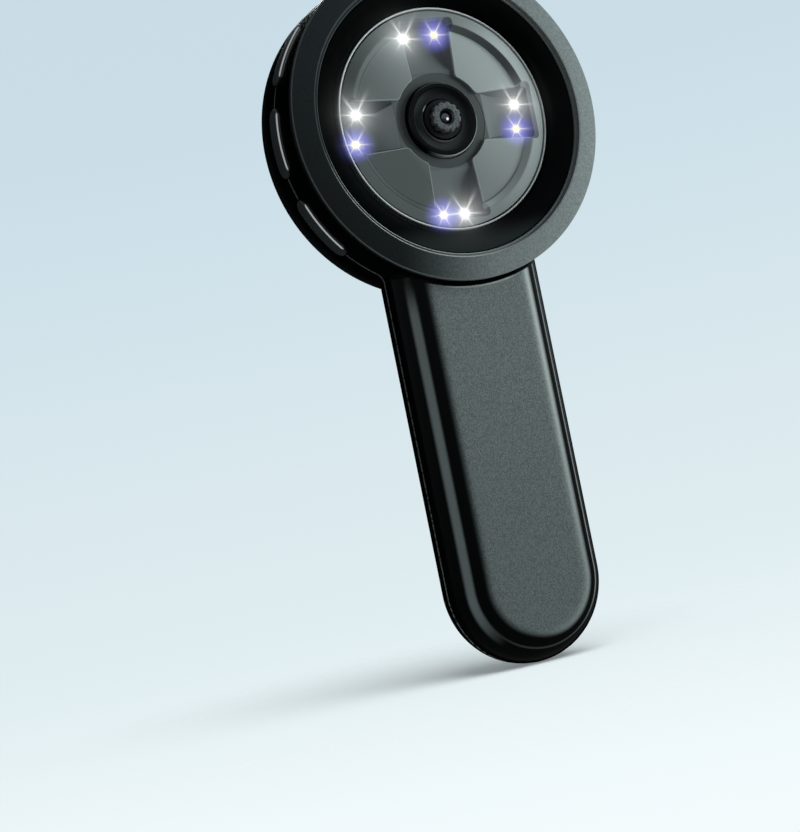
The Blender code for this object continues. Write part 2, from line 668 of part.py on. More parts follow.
def pill_loop(half_length, half_width, radius):
    """A pill outline laid on a cylinder round the head's axis. It lies at angle zero."""
    turn = np.linspace(0, math.pi / 2, BUTTON_STEPS // 2 + 1)
    straight = half_length - half_width
    along = np.concatenate([-straight - half_width * np.cos(turn), straight + half_width * np.sin(turn)])
    across = np.concatenate([half_width * np.sin(turn), half_width * np.cos(turn)])
    along = np.concatenate([along, along[-2:0:-1]]) / HEAD_RADIUS
    across = np.concatenate([across, -across[-2:0:-1]])
    return np.stack([radius * np.cos(along), across, radius * np.sin(along)], axis=-1)


def pill_solid(stages):
    """A curved pill-shaped solid from (half length, half width, radius) stages. Both ends
    close with strips across the pill, so that they follow the cylinder."""
    loops = [pill_loop(*stage) for stage in stages]
    points, faces = skin(loops, caps=False)
    count = len(loops[0])
    for start in (0, (len(loops) - 1) * count):
        for index in range(count // 2):
            near, far = start + index, start + (count - index) % count
            beyond = start + (count - index - 1) % count
            corners = [near, near + 1, beyond, far]
            faces.append(tuple(dict.fromkeys(corners)))
    return points, faces


def button_solid():
    """Nub, flange and cap of one button, on the head's +X side."""
    cap = (BUTTON_HALF_LENGTH, BUTTON_HALF_WIDTH)
    flange = (BUTTON_HALF_LENGTH + BUTTON_FLANGE, BUTTON_HALF_WIDTH + BUTTON_FLANGE)
    face = (BUTTON_HALF_LENGTH - BUTTON_EDGE, BUTTON_HALF_WIDTH - BUTTON_EDGE)
    nub = (BUTTON_NUB_HALF_LENGTH, BUTTON_NUB_HALF_WIDTH)
    top = HEAD_RADIUS + BUTTON_PROUD
    stages = [
        (*nub, NUB_RADIUS),
        (*nub, FLANGE_INNER),
        (*flange, FLANGE_INNER),
        (*flange, FLANGE_OUTER),
        (*cap, FLANGE_OUTER),
        (*cap, top - BUTTON_EDGE),
        (*face, top),
    ]
    return pill_solid(stages)


def button_opening_solid():
    size = (BUTTON_HALF_LENGTH + BUTTON_GAP, BUTTON_HALF_WIDTH + BUTTON_GAP)
    return pill_solid([(*size, WALL_RADIUS - CUT_OVERRUN), (*size, HEAD_RADIUS + CUT_OVERRUN)])


def turned_about_axis(solid, degrees):
    """The solid turned counter-clockwise about the head's axis."""
    points, faces = solid
    angle = math.radians(degrees)
    x = points[:, 0] * math.cos(angle) - points[:, 2] * math.sin(angle)
    z = points[:, 0] * math.sin(angle) + points[:, 2] * math.cos(angle)
    return np.stack([x, points[:, 1], z], axis=-1), faces


def along_radius(stages):
    """A solid lofted outwards along +X from rectangles: (radius, half length, low, high)."""
    loops = []
    for radius, half_length, low, high in stages:
        corners = [(-1, low), (1, low), (1, high), (-1, high)]
        loops.append([(radius, y, side * half_length) for side, y in corners])
    return skin(loops)


def usb_loop(half_width, half_height, x):
    """A pill outline across the socket's axis, which runs along +X."""
    outline = rounded_rectangle(half_height, half_width, half_height)
    return np.stack([np.full(len(outline), x), outline[:, 0] + USB_CENTRE, outline[:, 1]], axis=-1)


def make_front_shell():
    shell = add_object("front_shell", mesh_from("front_shell", [front_shell_solid()]), "shell_plastic")
    change(shell, add_object("bosses", mesh_from("bosses", at_screws(boss_solid))), "UNION")
    change(shell, add_object("grip_ribs", mesh_from("grip_ribs", rib_solids())), "UNION")
    return shell


def rib_solids():
    """Cross ribs on the grip's front wall that back the battery."""
    front = GRIP_INNER_FRONT + JOIN_OVERLAP
    back = -BATTERY_FRONT + SEAT_GAP
    spacing = BATTERY_LENGTH / (RIB_COUNT + 1)
    heights = [BATTERY_BOTTOM + spacing * (index + 1) for index in range(RIB_COUNT)]
    return [box((RIB_HALF_WIDTH, RIB_THICKNESS / 2), back, front, (0, height)) for height in heights]


def window_outline(corner):
    """The opening in front of the display, with a margin round its picture."""
    width = ACTIVE_HALF_WIDTH + WINDOW_MARGIN
    height = ACTIVE_HALF_HEIGHT + WINDOW_MARGIN
    return rounded_rectangle(width, height, corner)


def make_rear_shell():
    shell = add_object("rear_shell", mesh_from("rear_shell", [rear_shell_solid()]), "shell_plastic")
    posts = at_screws(lambda: rod_solid(POST_RADIUS, -INNER_BACK - JOIN_OVERLAP, -POST_END))
    change(shell, add_object("posts", mesh_from("posts", posts)), "UNION")
    window = block(window_outline(WINDOW_MARGIN), -REAR_DEPTH, -INNER_BACK + CUT_OVERRUN)
    change(shell, add_object("window", mesh_from("window", [window])), "DIFFERENCE")
    seats = mesh_from("screw_seats", at_screws(screw_seat_solid))
    change(shell, add_object("screw_seats", seats), "DIFFERENCE")
    return shell


def screw_seat_solid():
    """A counterbore for the head and a hole for the shank."""
    head = SCREW_HEAD_RADIUS + SEAT_GAP
    shank = SCREW_SHANK_RADIUS + SEAT_GAP
    profile = [
        (0, -REAR_DEPTH),
        (head, -REAR_DEPTH),
        (head, -SCREW_SEAT),
        (shank, -SCREW_SEAT),
        (shank, -POST_END + CUT_OVERRUN),
        (0, -POST_END + CUT_OVERRUN),
    ]
    return turned(profile, SMALL_TURN_STEPS)


def cut_side_openings(shells):
    """The button openings and the socket's opening lie across the parting line."""
    solids = [turned_about_axis(button_opening_solid(), angle) for angle in BUTTON_ANGLES.values()]
    openings = add_object("button_openings", mesh_from("button_openings", solids))
    half_size = (USB_HALF_WIDTH + USB_OPENING_GAP, USB_HEIGHT / 2 + USB_OPENING_GAP)
    ends = (WALL_RADIUS - CUT_OVERRUN, HEAD_RADIUS + CUT_OVERRUN)
    slot_solid = skin([usb_loop(*half_size, x) for x in ends])
    slot = add_object("usb_opening", mesh_from("usb_opening", [slot_solid]))
    for shell in shells:
        change(shell, openings, "DIFFERENCE")
        change(shell, slot, "DIFFERENCE")


def make_contact_ring():
    """A cone up to a narrow land, a step inside it and a spigot that fits the shell."""
    back = SHELL_FRONT + SEAT_GAP
    spigot_outer = WALL_RADIUS - SEAT_GAP
    spigot_inner = spigot_outer - SPIGOT_WALL
    profile = [
        (HEAD_RADIUS, back),
        (HEAD_RADIUS, RIM_DEPTH - RING_EDGE_CHAMFER),
        (HEAD_RADIUS - RING_EDGE_CHAMFER, RIM_DEPTH),
        (RING_INNER_RADIUS + RING_LAND_WIDTH, RING_TOP),
        (RING_INNER_RADIUS, RING_TOP),
        (RING_INNER_RADIUS, RING_STEP_DEPTH),
        (RING_BORE, RING_STEP_DEPTH),
        (RING_BORE, RING_TOP - RING_LIP_HEIGHT),
        (spigot_inner, back + SEAT_GAP),
        (spigot_inner, SHELL_FRONT - SPIGOT_LENGTH),
        (spigot_outer, SHELL_FRONT - SPIGOT_LENGTH),
        (spigot_outer, back),
    ]
    add_object("contact_ring", mesh_from("contact_ring", [turned(profile)]), "matt_plastic")


def make_light_funnel():
    """A dished well that carries the trim ring and the reflector plate on its flange."""
    start = FUNNEL_RADIUS - FUNNEL_RIM_WIDTH
    dish = []
    for turn in np.linspace(0, math.pi / 2, DISH_STEPS + 1):
        even_share = turn / (math.pi / 2)
        share = even_share + (math.sin(turn) - even_share) * FUNNEL_DISH_SHARE
        radius = start + (FUNNEL_BORE - start) * share
        dish.append((radius, DISH_FLOOR + FUNNEL_DROP * math.cos(turn)))
    profile = [
        (FUNNEL_RADIUS, FUNNEL_TOP),
        *dish,
        (FUNNEL_BORE, FUNNEL_FLANGE_DEPTH),
        (PLATE_BODY_RADIUS + SEAT_GAP, FUNNEL_FLANGE_DEPTH),
        (PLATE_BODY_RADIUS + SEAT_GAP, FUNNEL_BACK),
        (FUNNEL_NECK_RADIUS, FUNNEL_BACK),
        (FUNNEL_NECK_RADIUS, FUNNEL_SHOULDER),
        (FUNNEL_RADIUS, FUNNEL_SHOULDER),
    ]
    add_object("light_funnel", mesh_from("light_funnel", [turned(profile)]), "gloss_black")


def make_trim_ring():
    back = FUNNEL_FLANGE_DEPTH + SEAT_GAP
    front = PLATE_LAND_DEPTH + TRIM_PROUD
    inner = TRIM_RADIUS - TRIM_WIDTH
    profile = [(inner, back), (TRIM_RADIUS, back), (TRIM_RADIUS, front - TRIM_PROUD)]
    profile += [(TRIM_RADIUS - TRIM_PROUD, front), (inner, front)]
    add_object("trim_ring", mesh_from("trim_ring", [turned(profile)]), "bright_metal")


def make_reflector_plate():
    """A turned plate with four light channels, LED windows and hollows behind its sectors."""
    bore = COLLAR_RADIUS + SEAT_GAP
    profile = [
        (bore, PLATE_BACK),
        (PLATE_BODY_RADIUS, PLATE_BACK),
        (PLATE_BODY_RADIUS, PLATE_RIM_BACK),
        (PLATE_RADIUS, PLATE_RIM_BACK),
        (PLATE_RADIUS, PLATE_LAND_DEPTH),
        (SECTOR_OUTER_RADIUS, PLATE_LAND_DEPTH),
        (SECTOR_OUTER_RADIUS - SECTOR_SLOPE, SECTOR_DEPTH),
        (HUB_RADIUS, SECTOR_DEPTH),
        (HUB_RADIUS, HUB_DEPTH),
        (bore, HUB_DEPTH),
    ]
    plate = add_object("reflector_plate", mesh_from("reflector_plate", [turned(profile)]), "reflector_grey")
    quarters = [0, 90, 180, 270]
    channels = [turned_about_axis(channel_solid(), angle) for angle in quarters]
    change(plate, add_object("channels", mesh_from("channels", channels)), "DIFFERENCE")
    hollows = [turned_about_axis(sector_hollow_solid(), angle) for angle in quarters]
    change(plate, add_object("sector_hollows", mesh_from("sector_hollows", hollows)), "DIFFERENCE")
    windows = [turned_about_axis(led_window_solid(side), angle) for angle in quarters for side in (-1, 1)]
    change(plate, add_object("led_windows", mesh_from("led_windows", windows)), "DIFFERENCE")


def channel_plan(end, inset, corner):
    """The outline of a channel along +X, counter-clockwise from its inner lower end. A round
    joins each side to the hub's circle, and the outer corners are round."""
    base = CHANNEL_INNER_HALF_WIDTH - inset
    half_width = CHANNEL_OUTER_HALF_WIDTH - inset
    reach = HUB_RADIUS + CHANNEL_CORNER
    centre = np.array([math.sqrt(reach**2 - (base + CHANNEL_CORNER) ** 2), base + CHANNEL_CORNER])
    to_axis = math.atan2(-centre[1], -centre[0])
    neck = centre + polar(CHANNEL_CORNER, np.linspace(to_axis, -math.pi / 2, CORNER_STEPS + 1))
    along = end - corner - centre[0]
    side = [(centre[0] + along * share, base + (half_width - base) * share) for share in CHANNEL_SIDE_SHARES]
    tip = polar(corner, np.linspace(math.pi / 2, 0, CORNER_STEPS + 1)) + (end - corner, half_width - corner)
    half = np.concatenate([neck[:1] * CHANNEL_LEAD_SHARE, neck, side, tip])
    return np.concatenate([half, [(end, 0)], half[::-1] * (1, -1)])


def channel_solid():
    """A cutter with leaning walls and a floor that falls outwards, steeply at first. The part
    of it over the hub stays above the hub's face."""
    sectors = channel_plan(CHANNEL_END_RADIUS, 0, CHANNEL_CORNER)
    floor_corner = CHANNEL_CORNER * CHANNEL_FLOOR_CORNER_SHARE
    end = CHANNEL_END_RADIUS - CHANNEL_DRAFT * CHANNEL_END_DRAFT_SHARE
    lowest = channel_plan(end, CHANNEL_DRAFT, floor_corner)
    share = np.clip((sectors[:, 0] - HUB_RADIUS) / (CHANNEL_END_RADIUS - HUB_RADIUS), 0, 1)
    floor = CHANNEL_START_DEPTH - CHANNEL_FALL * (1 - (1 - share) ** CHANNEL_FALL_POWER)
    low_share = (SECTOR_DEPTH - floor) / CHANNEL_HEIGHT
    floor_plan = sectors + (lowest - sectors) * low_share[:, None]
    top = PLATE_LAND_DEPTH + CUT_OVERRUN
    top_plan = sectors + (sectors - lowest) * (top - SECTOR_DEPTH) / CHANNEL_HEIGHT
    loops = [
        lay(floor_plan * (1, 0), floor),
        lay(floor_plan, floor),
        lay(sectors, SECTOR_DEPTH),
        lay(top_plan, top),
        lay(top_plan * (1, 0), top),
    ]
    return skin(loops, caps=False)


def sector_hollow_solid():
    """A cutter that hollows the plate from behind, between two channels."""
    inner = HUB_RADIUS + RIB_BETWEEN
    outer = SECTOR_OUTER_RADIUS - SECTOR_SLOPE
    side = CHANNEL_OUTER_HALF_WIDTH + RIB_BETWEEN
    start_outer = math.asin(side / outer)
    start_inner = math.asin(side / inner)
    far = polar(outer, np.linspace(start_outer, math.pi / 2 - start_outer, DISH_STEPS + 1))
    near = polar(inner, np.linspace(math.pi / 2 - start_inner, start_inner, CORNER_STEPS + 1))
    outline = np.concatenate([far, near])
    return skin([lay(outline, PLATE_BACK - CUT_OVERRUN), lay(outline, SECTOR_DEPTH - SECTOR_WALL)])


def led_window_solid(side):
    half_size = [size + SEAT_GAP for size in LED_HALF_SIZE]
    centre = (LED_RADIUS, side * LED_OFFSET)
    return box(half_size, PLATE_BACK - CUT_OVERRUN, PLATE_LAND_DEPTH, centre)


def make_leds():
    """A white and an ultraviolet LED at the outer end of each channel."""
    width, height = LED_HALF_SIZE
    share, drop_share = LED_CUP_SHARES
    back = LED_BOARD_FRONT + SEAT_GAP
    front = back + LED_HEIGHT
    body = rounded_rectangle(width, height, height * drop_share)
    cup = rounded_rectangle(width * share, height * share, height * share / 2)
    loops = [lay(body, back), lay(body, front), lay(cup, front), lay(cup, front - LED_HEIGHT * drop_share)]
    for place, (angle, clockwise) in LED_PAIRS.items():
        for side in (-1, 1):
            name = "uv_led" if (clockwise == "uv") == (side < 0) else "white_led"
            solid = moved_solid(skin(loops), (LED_RADIUS, side * LED_OFFSET))
            add_object(f"{name}_{place}", mesh_from(name, [solid]), name, angle)


def make_lens_collar():
    """A rounded edge, a shallow dish and a low lip round the bore."""
    dish_floor = COLLAR_FRONT - COLLAR_DISH
    lip = COLLAR_BORE + COLLAR_LIP
    edge_centre = (COLLAR_RADIUS - COLLAR_EDGE, COLLAR_FRONT - COLLAR_EDGE)
    edge = arc_profile(edge_centre, COLLAR_EDGE, 0, 90, CORNER_STEPS)
    profile = [
        (COLLAR_BORE, COLLAR_BACK),
        (COLLAR_RADIUS, COLLAR_BACK),
        *edge,
        (COLLAR_RADIUS - 2 * COLLAR_EDGE, COLLAR_FRONT - COLLAR_DISH / 2),
        (lip + COLLAR_LIP, dish_floor),
        (lip, dish_floor + COLLAR_LIP / 2),
        (COLLAR_BORE, dish_floor + COLLAR_LIP / 2),
    ]
    add_object("lens_collar", mesh_from("lens_collar", [turned(profile, COLLAR_STEPS)]), "gloss_black")


def make_lens():
    """A threaded barrel with a scalloped head, and its front glass."""
    steps = LENS_SCALLOPS * LENS_SCALLOP_STEPS
    angles = np.arange(steps) * 2 * math.pi / steps
    wave = np.maximum(np.cos(angles * LENS_SCALLOPS), 0)

    def ring(radius, depth, scallop=0.0):
        outline = polar(1, angles) * (radius - scallop * wave)[:, None]
        return lay(outline, depth)

    head, chamfered = LENS_HEAD_RADIUS, LENS_HEAD_RADIUS - LENS_CHAMFER
    seat = LENS_TOP_DEPTH - LENS_MOUTH_DEPTH - LENS_GLASS_LENGTH - SEAT_GAP
    loops = [
        ring(LENS_THREAD_RADIUS, LENS_BACK),
        ring(LENS_THREAD_RADIUS, LENS_HEAD_BACK),
        ring(head, LENS_HEAD_BACK, LENS_SCALLOP_DEPTH),
        ring(head, LENS_TOP_DEPTH - LENS_CHAMFER, LENS_SCALLOP_DEPTH),
        ring(chamfered, LENS_TOP_DEPTH, LENS_SCALLOP_DEPTH),
        ring(LENS_MOUTH_RADIUS, LENS_TOP_DEPTH),
        ring(LENS_BORE_RADIUS, LENS_TOP_DEPTH - LENS_MOUTH_DEPTH),
        ring(LENS_BORE_RADIUS, seat),
        ring(LENS_STOP_RADIUS, seat),
        ring(LENS_STOP_RADIUS, LENS_BACK),
    ]
    add_object("lens_barrel", mesh_from("lens_barrel", [skin(loops, closed=True)]), "black_metal")
    radius = LENS_BORE_RADIUS - SEAT_GAP
    back = seat + SEAT_GAP
    top = back + LENS_GLASS_LENGTH
    dome = [
        (radius * math.cos(turn), top - LENS_GLASS_CROWN * (1 - math.sin(turn)))
        for turn in np.linspace(0, math.pi / 2, CORNER_STEPS + 1)[:-1]
    ]
    profile = [(0, back), (radius, back), *dome, (0, top)]
    add_object("lens_glass", mesh_from("lens_glass", [turned(profile, SMALL_TURN_STEPS)]), "optical_glass")


def make_camera():
    """The lens holder stands over the sensor on the camera board."""
    side = HOLDER_HALF_SIDE
    base = block(rounded_rectangle(side, side, BOARD_CORNER), HOLDER_BACK, HOLDER_SHOULDER)
    holder = add_object("lens_holder", mesh_from("lens_holder", [base]), "chip_black")
    tube = rod_solid(HOLDER_TUBE_RADIUS, HOLDER_SHOULDER - JOIN_OVERLAP, HOLDER_TOP)
    change(holder, add_object("holder_tube", mesh_from("holder_tube", [tube])), "UNION")
    bore = rod_solid(LENS_THREAD_RADIUS + SEAT_GAP, HOLDER_BACK - CUT_OVERRUN, HOLDER_TOP + CUT_OVERRUN)
    change(holder, add_object("holder_bore", mesh_from("holder_bore", [bore])), "DIFFERENCE")
    room_side = HOLDER_ROOM_HALF_SIDE
    room = box((room_side, room_side), HOLDER_BACK - CUT_OVERRUN, HOLDER_BACK + HOLDER_ROOM_DEPTH)
    change(holder, add_object("holder_room", mesh_from("holder_room", [room])), "DIFFERENCE")
    sensor_back = CAMERA_BOARD_FRONT + SEAT_GAP
    sensor = box(SENSOR_HALF_SIZE, sensor_back, sensor_back + SENSOR_THICKNESS)
    add_object("image_sensor", mesh_from("image_sensor", [sensor]), "chip_black")
    outline = rounded_rectangle(*CAMERA_BOARD_HALF_SIZE, BOARD_CORNER)
    board = block(outline, CAMERA_BOARD_BACK, CAMERA_BOARD_FRONT)
    add_object("camera_board", mesh_from("camera_board", [board]), "board_green")


def make_led_board():
    profile = [
        (LED_BOARD_BORE, LED_BOARD_BACK),
        (LED_BOARD_RADIUS, LED_BOARD_BACK),
        (LED_BOARD_RADIUS, LED_BOARD_FRONT),
        (LED_BOARD_BORE, LED_BOARD_FRONT),
    ]
    add_object("led_board", mesh_from("led_board", [turned(profile)]), "board_green")


def make_main_board():
    """A round board with a notch at each screw boss, and the chips on its front."""
    disc = rod_solid(MAIN_BOARD_RADIUS, -MAIN_BOARD_BACK, -MAIN_BOARD_FRONT, TURN_STEPS)
    board = add_object("main_board", mesh_from("main_board", [disc]), "board_green")
    notch = BOSS_SPIGOT_RADIUS + SEAT_GAP
    ends = (-MAIN_BOARD_BACK - CUT_OVERRUN, -MAIN_BOARD_FRONT + CUT_OVERRUN)
    notches = at_screws(lambda: rod_solid(notch, *ends))
    change(board, add_object("board_notches", mesh_from("board_notches", notches)), "DIFFERENCE")
    back = -PARTS_BACK
    chips = {
        "processor_chip": (PROCESSOR_HALF_SIZE, PROCESSOR_SIDE),
        "memory_chip": (MEMORY_HALF_SIZE, MEMORY_SIDE),
    }
    for name, (half_size, side) in chips.items():
        place = (side, CHIP_TOP - half_size[1])
        chip = chamfered_box(half_size, back, back + CHIP_HEIGHT, CHIP_CHAMFER, place)
        add_object(name, mesh_from(name, [chip]), "chip_black")


def make_buttons():
    """Three sprung buttons on the head's left, each over a side switch on the board."""
    low, high = PARTS_BACK - SWITCH_HEIGHT, PARTS_BACK
    plunger_length, plunger_height = SWITCH_PLUNGER_HALF_SIZE
    switch = along_radius([
        (SWITCH_FRONT_RADIUS - SWITCH_LENGTH, SWITCH_HALF_LENGTH, low, high),
        (SWITCH_FRONT_RADIUS, SWITCH_HALF_LENGTH, low, high),
        (SWITCH_FRONT_RADIUS, plunger_length, -plunger_height, plunger_height),
        (PLUNGER_TIP, plunger_length, -plunger_height, plunger_height),
    ])
    for place, angle in BUTTON_ANGLES.items():
        name = f"{place}_button"
        add_object(name, mesh_from(name, [button_solid()]), "button_rubber", angle)
        name = f"{place}_switch"
        add_object(name, mesh_from(name, [switch]), "chip_black", angle)


def make_usb_socket():
    """A sheet-metal shell round a contact tongue."""
    half_size = (USB_HALF_WIDTH, USB_HEIGHT / 2)
    body = skin([usb_loop(*half_size, x) for x in (USB_MOUTH - USB_LENGTH, USB_MOUTH)])
    socket = add_object("usb_socket", mesh_from("usb_socket", [body]), "steel")
    room_size = [size - USB_SHEET for size in half_size]
    room_start = USB_MOUTH - USB_ROOM_LENGTH
    room = skin([usb_loop(*room_size, x) for x in (room_start, USB_MOUTH + CUT_OVERRUN)])
    change(socket, add_object("usb_room", mesh_from("usb_room", [room])), "DIFFERENCE")
    half_width, half_thickness = USB_TONGUE_HALF_SIZE
    low, high = USB_CENTRE - half_thickness, USB_CENTRE + half_thickness
    ends = (room_start - JOIN_OVERLAP, room_start + USB_TONGUE_LENGTH)
    tongue = along_radius([(x, half_width, low, high) for x in ends])
    change(socket, add_object("usb_tongue", mesh_from("usb_tongue", [tongue])), "UNION")


def eased_line(start, end, steps):
    """(height, depth) points from start to end, with the depth eased at both ends."""
    shares = np.linspace(0, 1, steps + 1)[:, None]
    eased = shares * shares * (3 - 2 * shares)
    return np.hstack([start[0] + (end[0] - start[0]) * shares, start[1] + (end[1] - start[1]) * eased])


def strip_solid(line, thickness, half_width):
    """A flat strip across X that follows a line of (height, depth) points."""
    line = np.array(line, float)
    runs = np.diff(line, axis=0)
    runs /= np.linalg.norm(runs, axis=1)[:, None]
    along = np.concatenate([runs[:1], runs[:-1] + runs[1:], runs[-1:]])
    along /= np.linalg.norm(along, axis=1)[:, None]
    normal = np.stack([-along[:, 1], along[:, 0]], axis=-1) * thickness / 2
    outline = np.concatenate([line + normal, (line - normal)[::-1]])
    loops = []
    for side in (-half_width, half_width):
        loops.append(np.stack([np.full(len(outline), side), -outline[:, 1], outline[:, 0]], axis=-1))
    return skin(loops)


def make_flexes():
    """Flat ribbons from the camera board and the display to the main board."""
    connector_front = -PARTS_BACK + FLEX_CONNECTOR_HEIGHT
    place = (0, FLEX_CONNECTOR_PLACE)
    connector = box(FLEX_CONNECTOR_HALF_SIZE, -PARTS_BACK, connector_front, place)
    add_object("flex_connector", mesh_from("flex_connector", [connector]), "chip_black")
    start = CAMERA_BOARD_BACK - SEAT_GAP - FLEX_THICKNESS / 2
    entry = connector_front - FLEX_CONNECTOR_HEIGHT / 2
    mouth = FLEX_CONNECTOR_PLACE + FLEX_CONNECTOR_HALF_SIZE[1] + SEAT_GAP
    rise = eased_line((mouth + CAMERA_FLEX_RISE, start), (mouth, entry), FLEX_STEPS)
    line = [(CAMERA_FLEX_START, start), *rise]
    flex = strip_solid(line, FLEX_THICKNESS, CAMERA_FLEX_HALF_WIDTH)
    add_object("camera_flex", mesh_from("camera_flex", [flex]), "flex_amber")
    edge = -DISPLAY_HALF_HEIGHT - SEAT_GAP
    middle = -(DISPLAY_FRONT + DISPLAY_BACK) / 2
    under = -MAIN_BOARD_BACK - SEAT_GAP - FLEX_THICKNESS / 2
    line = [
        (edge, middle),
        (edge - DISPLAY_FLEX_DROP / 2, middle),
        (edge - DISPLAY_FLEX_DROP, (middle + under) / 2),
        (edge - DISPLAY_FLEX_DROP / 2, under),
        (edge + DISPLAY_FLEX_DROP, under),
    ]
    flex = strip_solid(line, FLEX_THICKNESS, DISPLAY_FLEX_HALF_WIDTH)
    add_object("display_flex", mesh_from("display_flex", [flex]), "flex_amber")


def make_display():
    """Round cover glass flush with the back, a gasket and the panel behind the window."""
    glass_front = -RECESS_FLOOR - SEAT_GAP
    profile = [
        (0, -REAR_DEPTH),
        (GLASS_RADIUS - GLASS_CHAMFER, -REAR_DEPTH),
        (GLASS_RADIUS, -REAR_DEPTH + GLASS_CHAMFER),
        (GLASS_RADIUS, glass_front),
        (0, glass_front),
    ]
    add_object("display_glass", mesh_from("display_glass", [turned(profile)]), "display_glass")
    width, height = DISPLAY_HALF_WIDTH, DISPLAY_HALF_HEIGHT
    outer = rounded_rectangle(width - GASKET_INSET, height - GASKET_INSET, DISPLAY_CORNER)
    inner = window_outline(DISPLAY_CORNER)
    loops = [
        lay(outer, -GASKET_BACK),
        lay(outer, -GASKET_FRONT),
        lay(inner, -GASKET_FRONT),
        lay(inner, -GASKET_BACK),
    ]
    add_object("display_gasket", mesh_from("display_gasket", [skin(loops, closed=True)]), "foam")
    frame = rounded_rectangle(width, height, DISPLAY_CORNER)
    active = rounded_rectangle(ACTIVE_HALF_WIDTH, ACTIVE_HALF_HEIGHT, DISPLAY_CORNER)
    loops = [
        lay(frame, -DISPLAY_FRONT),
        lay(frame, -DISPLAY_BACK),
        lay(active, -DISPLAY_BACK),
        lay(active, -DISPLAY_BACK + DISPLAY_ACTIVE_DROP),
    ]
    add_object("display_panel", mesh_from("display_panel", [skin(loops)]), "display_glass")


def screw_solid():
    """A pan head with a hexagon socket, and a plain shank. It stands on the head's axis."""
    steps = SMALL_TURN_STEPS // 2
    angles = np.arange(steps) * 2 * math.pi / steps
    hexagon = SCREW_SOCKET_RADIUS * math.cos(math.pi / 6) / np.cos((angles % (math.pi / 3)) - math.pi / 6)
    socket = polar(1, angles) * hexagon[:, None]
    seat = SCREW_SEAT + SEAT_GAP
    top = seat + SCREW_HEAD_HEIGHT
    tip = seat - SCREW_LENGTH
    edge = SCREW_HEAD_CHAMFER
    loops = [
        lay(circle(SCREW_TIP_RADIUS, steps), -tip),
        lay(circle(SCREW_SHANK_RADIUS, steps), -tip - SCREW_TIP_RADIUS),
        lay(circle(SCREW_SHANK_RADIUS, steps), -seat),
        lay(circle(SCREW_HEAD_RADIUS, steps), -seat),
        lay(circle(SCREW_HEAD_RADIUS, steps), -top + edge),
        lay(circle(SCREW_HEAD_RADIUS - edge, steps), -top),
        lay(socket, -top),
        lay(socket, -top + SCREW_SOCKET_DEPTH),
    ]
    return skin(loops)


def make_screws():
    for place, angle in SCREW_ANGLES.items():
        name = f"screw_{place}"
        solid = moved_solid(screw_solid(), polar(SCREW_CIRCLE_RADIUS, math.radians(angle)))
        add_object(name, mesh_from(name, [solid]), "steel")


def make_battery():
    """A pouch cell on a foam pad, with its protection board, leads and connector."""
    centre = (0, (BATTERY_TOP + BATTERY_BOTTOM) / 2)
    turns = np.linspace(0, math.pi, 2 * CORNER_STEPS + 1)
    loops = []
    for turn in turns:
        draw_in = BATTERY_EDGE * (1 - math.sin(turn))
        level = (BATTERY_BACK + BATTERY_FRONT) / 2 + BATTERY_THICKNESS / 2 * math.cos(turn)
        size = (BATTERY_HALF_WIDTH - draw_in, BATTERY_LENGTH / 2 - draw_in)
        loops.append(lay(rounded_rectangle(*size, BATTERY_EDGE, centre), -level))
    add_object("battery", mesh_from("battery", [skin(loops)]), "battery_foil")
    pad_size = (PAD_HALF_WIDTH, BATTERY_LENGTH / 2 - PAD_END_MARGIN)
    pad = box(pad_size, -PAD_BACK, -PAD_BACK + PAD_THICKNESS, centre)
    add_object("battery_pad", mesh_from("battery_pad", [pad]), "foam")
    low = BATTERY_TOP + SEAT_GAP
    middle = -(BATTERY_FRONT + BATTERY_BACK) / 2
    half_size = (PROTECTION_HALF_WIDTH, PROTECTION_LENGTH / 2)
    place = (0, low + PROTECTION_LENGTH / 2)
    board = box(half_size, middle - BOARD_THICKNESS / 2, middle + BOARD_THICKNESS / 2, place)
    add_object("battery_protection_board", mesh_from("battery_protection_board", [board]), "board_green")
    back = -PARTS_BACK
    place = (0, BATTERY_CONNECTOR_PLACE)
    connector = box(BATTERY_CONNECTOR_HALF_SIZE, back, back + BATTERY_CONNECTOR_HEIGHT, place)
    add_object("battery_connector", mesh_from("battery_connector", [connector]), "white_led")
    start = (low + PROTECTION_LENGTH + SEAT_GAP, middle)
    end = (CONNECTOR_BOTTOM - SEAT_GAP, back + BATTERY_CONNECTOR_HEIGHT / 2)
    make_lead("battery_lead_red", "lead_red", LEAD_SPACING / 2, start, end)
    make_lead("battery_lead_black", "lead_black", -LEAD_SPACING / 2, start, end)


def make_lead(name, material, side, start, end):
    """A wire from (height, depth) to (height, depth) that leaves both ends straight."""
    curve = bpy.data.curves.new(name, "CURVE")
    curve.dimensions = "3D"
    curve.bevel_depth = LEAD_RADIUS
    curve.bevel_resolution = 1
    curve.use_fill_caps = True
    spline = curve.splines.new("POLY")
    spline.points.add(LEAD_STEPS)
    line = eased_line(start, end, LEAD_STEPS)
    for index, (height, depth) in enumerate(line):
        bow = math.sin(math.pi * index / LEAD_STEPS) ** 2
        spread = side * (1 + LEAD_SAG / LEAD_SPACING * bow)
        spline.points[index].co = (spread, -depth, height, 1)
    add_object(name, curve, material)


def main():
    clear_scene()
    make_materials()
    add_empty("head_axis", HEAD_CENTRE_HEIGHT)
    shells = [make_front_shell(), make_rear_shell()]
    cut_side_openings(shells)
    make_contact_ring()
    make_light_funnel()
    make_trim_ring()
    make_reflector_plate()
    make_leds()
    make_led_board()
    make_lens_collar()
    make_lens()
    make_camera()
    make_main_board()
    make_flexes()
    make_buttons()
    make_usb_socket()
    make_display()
    make_screws()
    make_battery()


main()
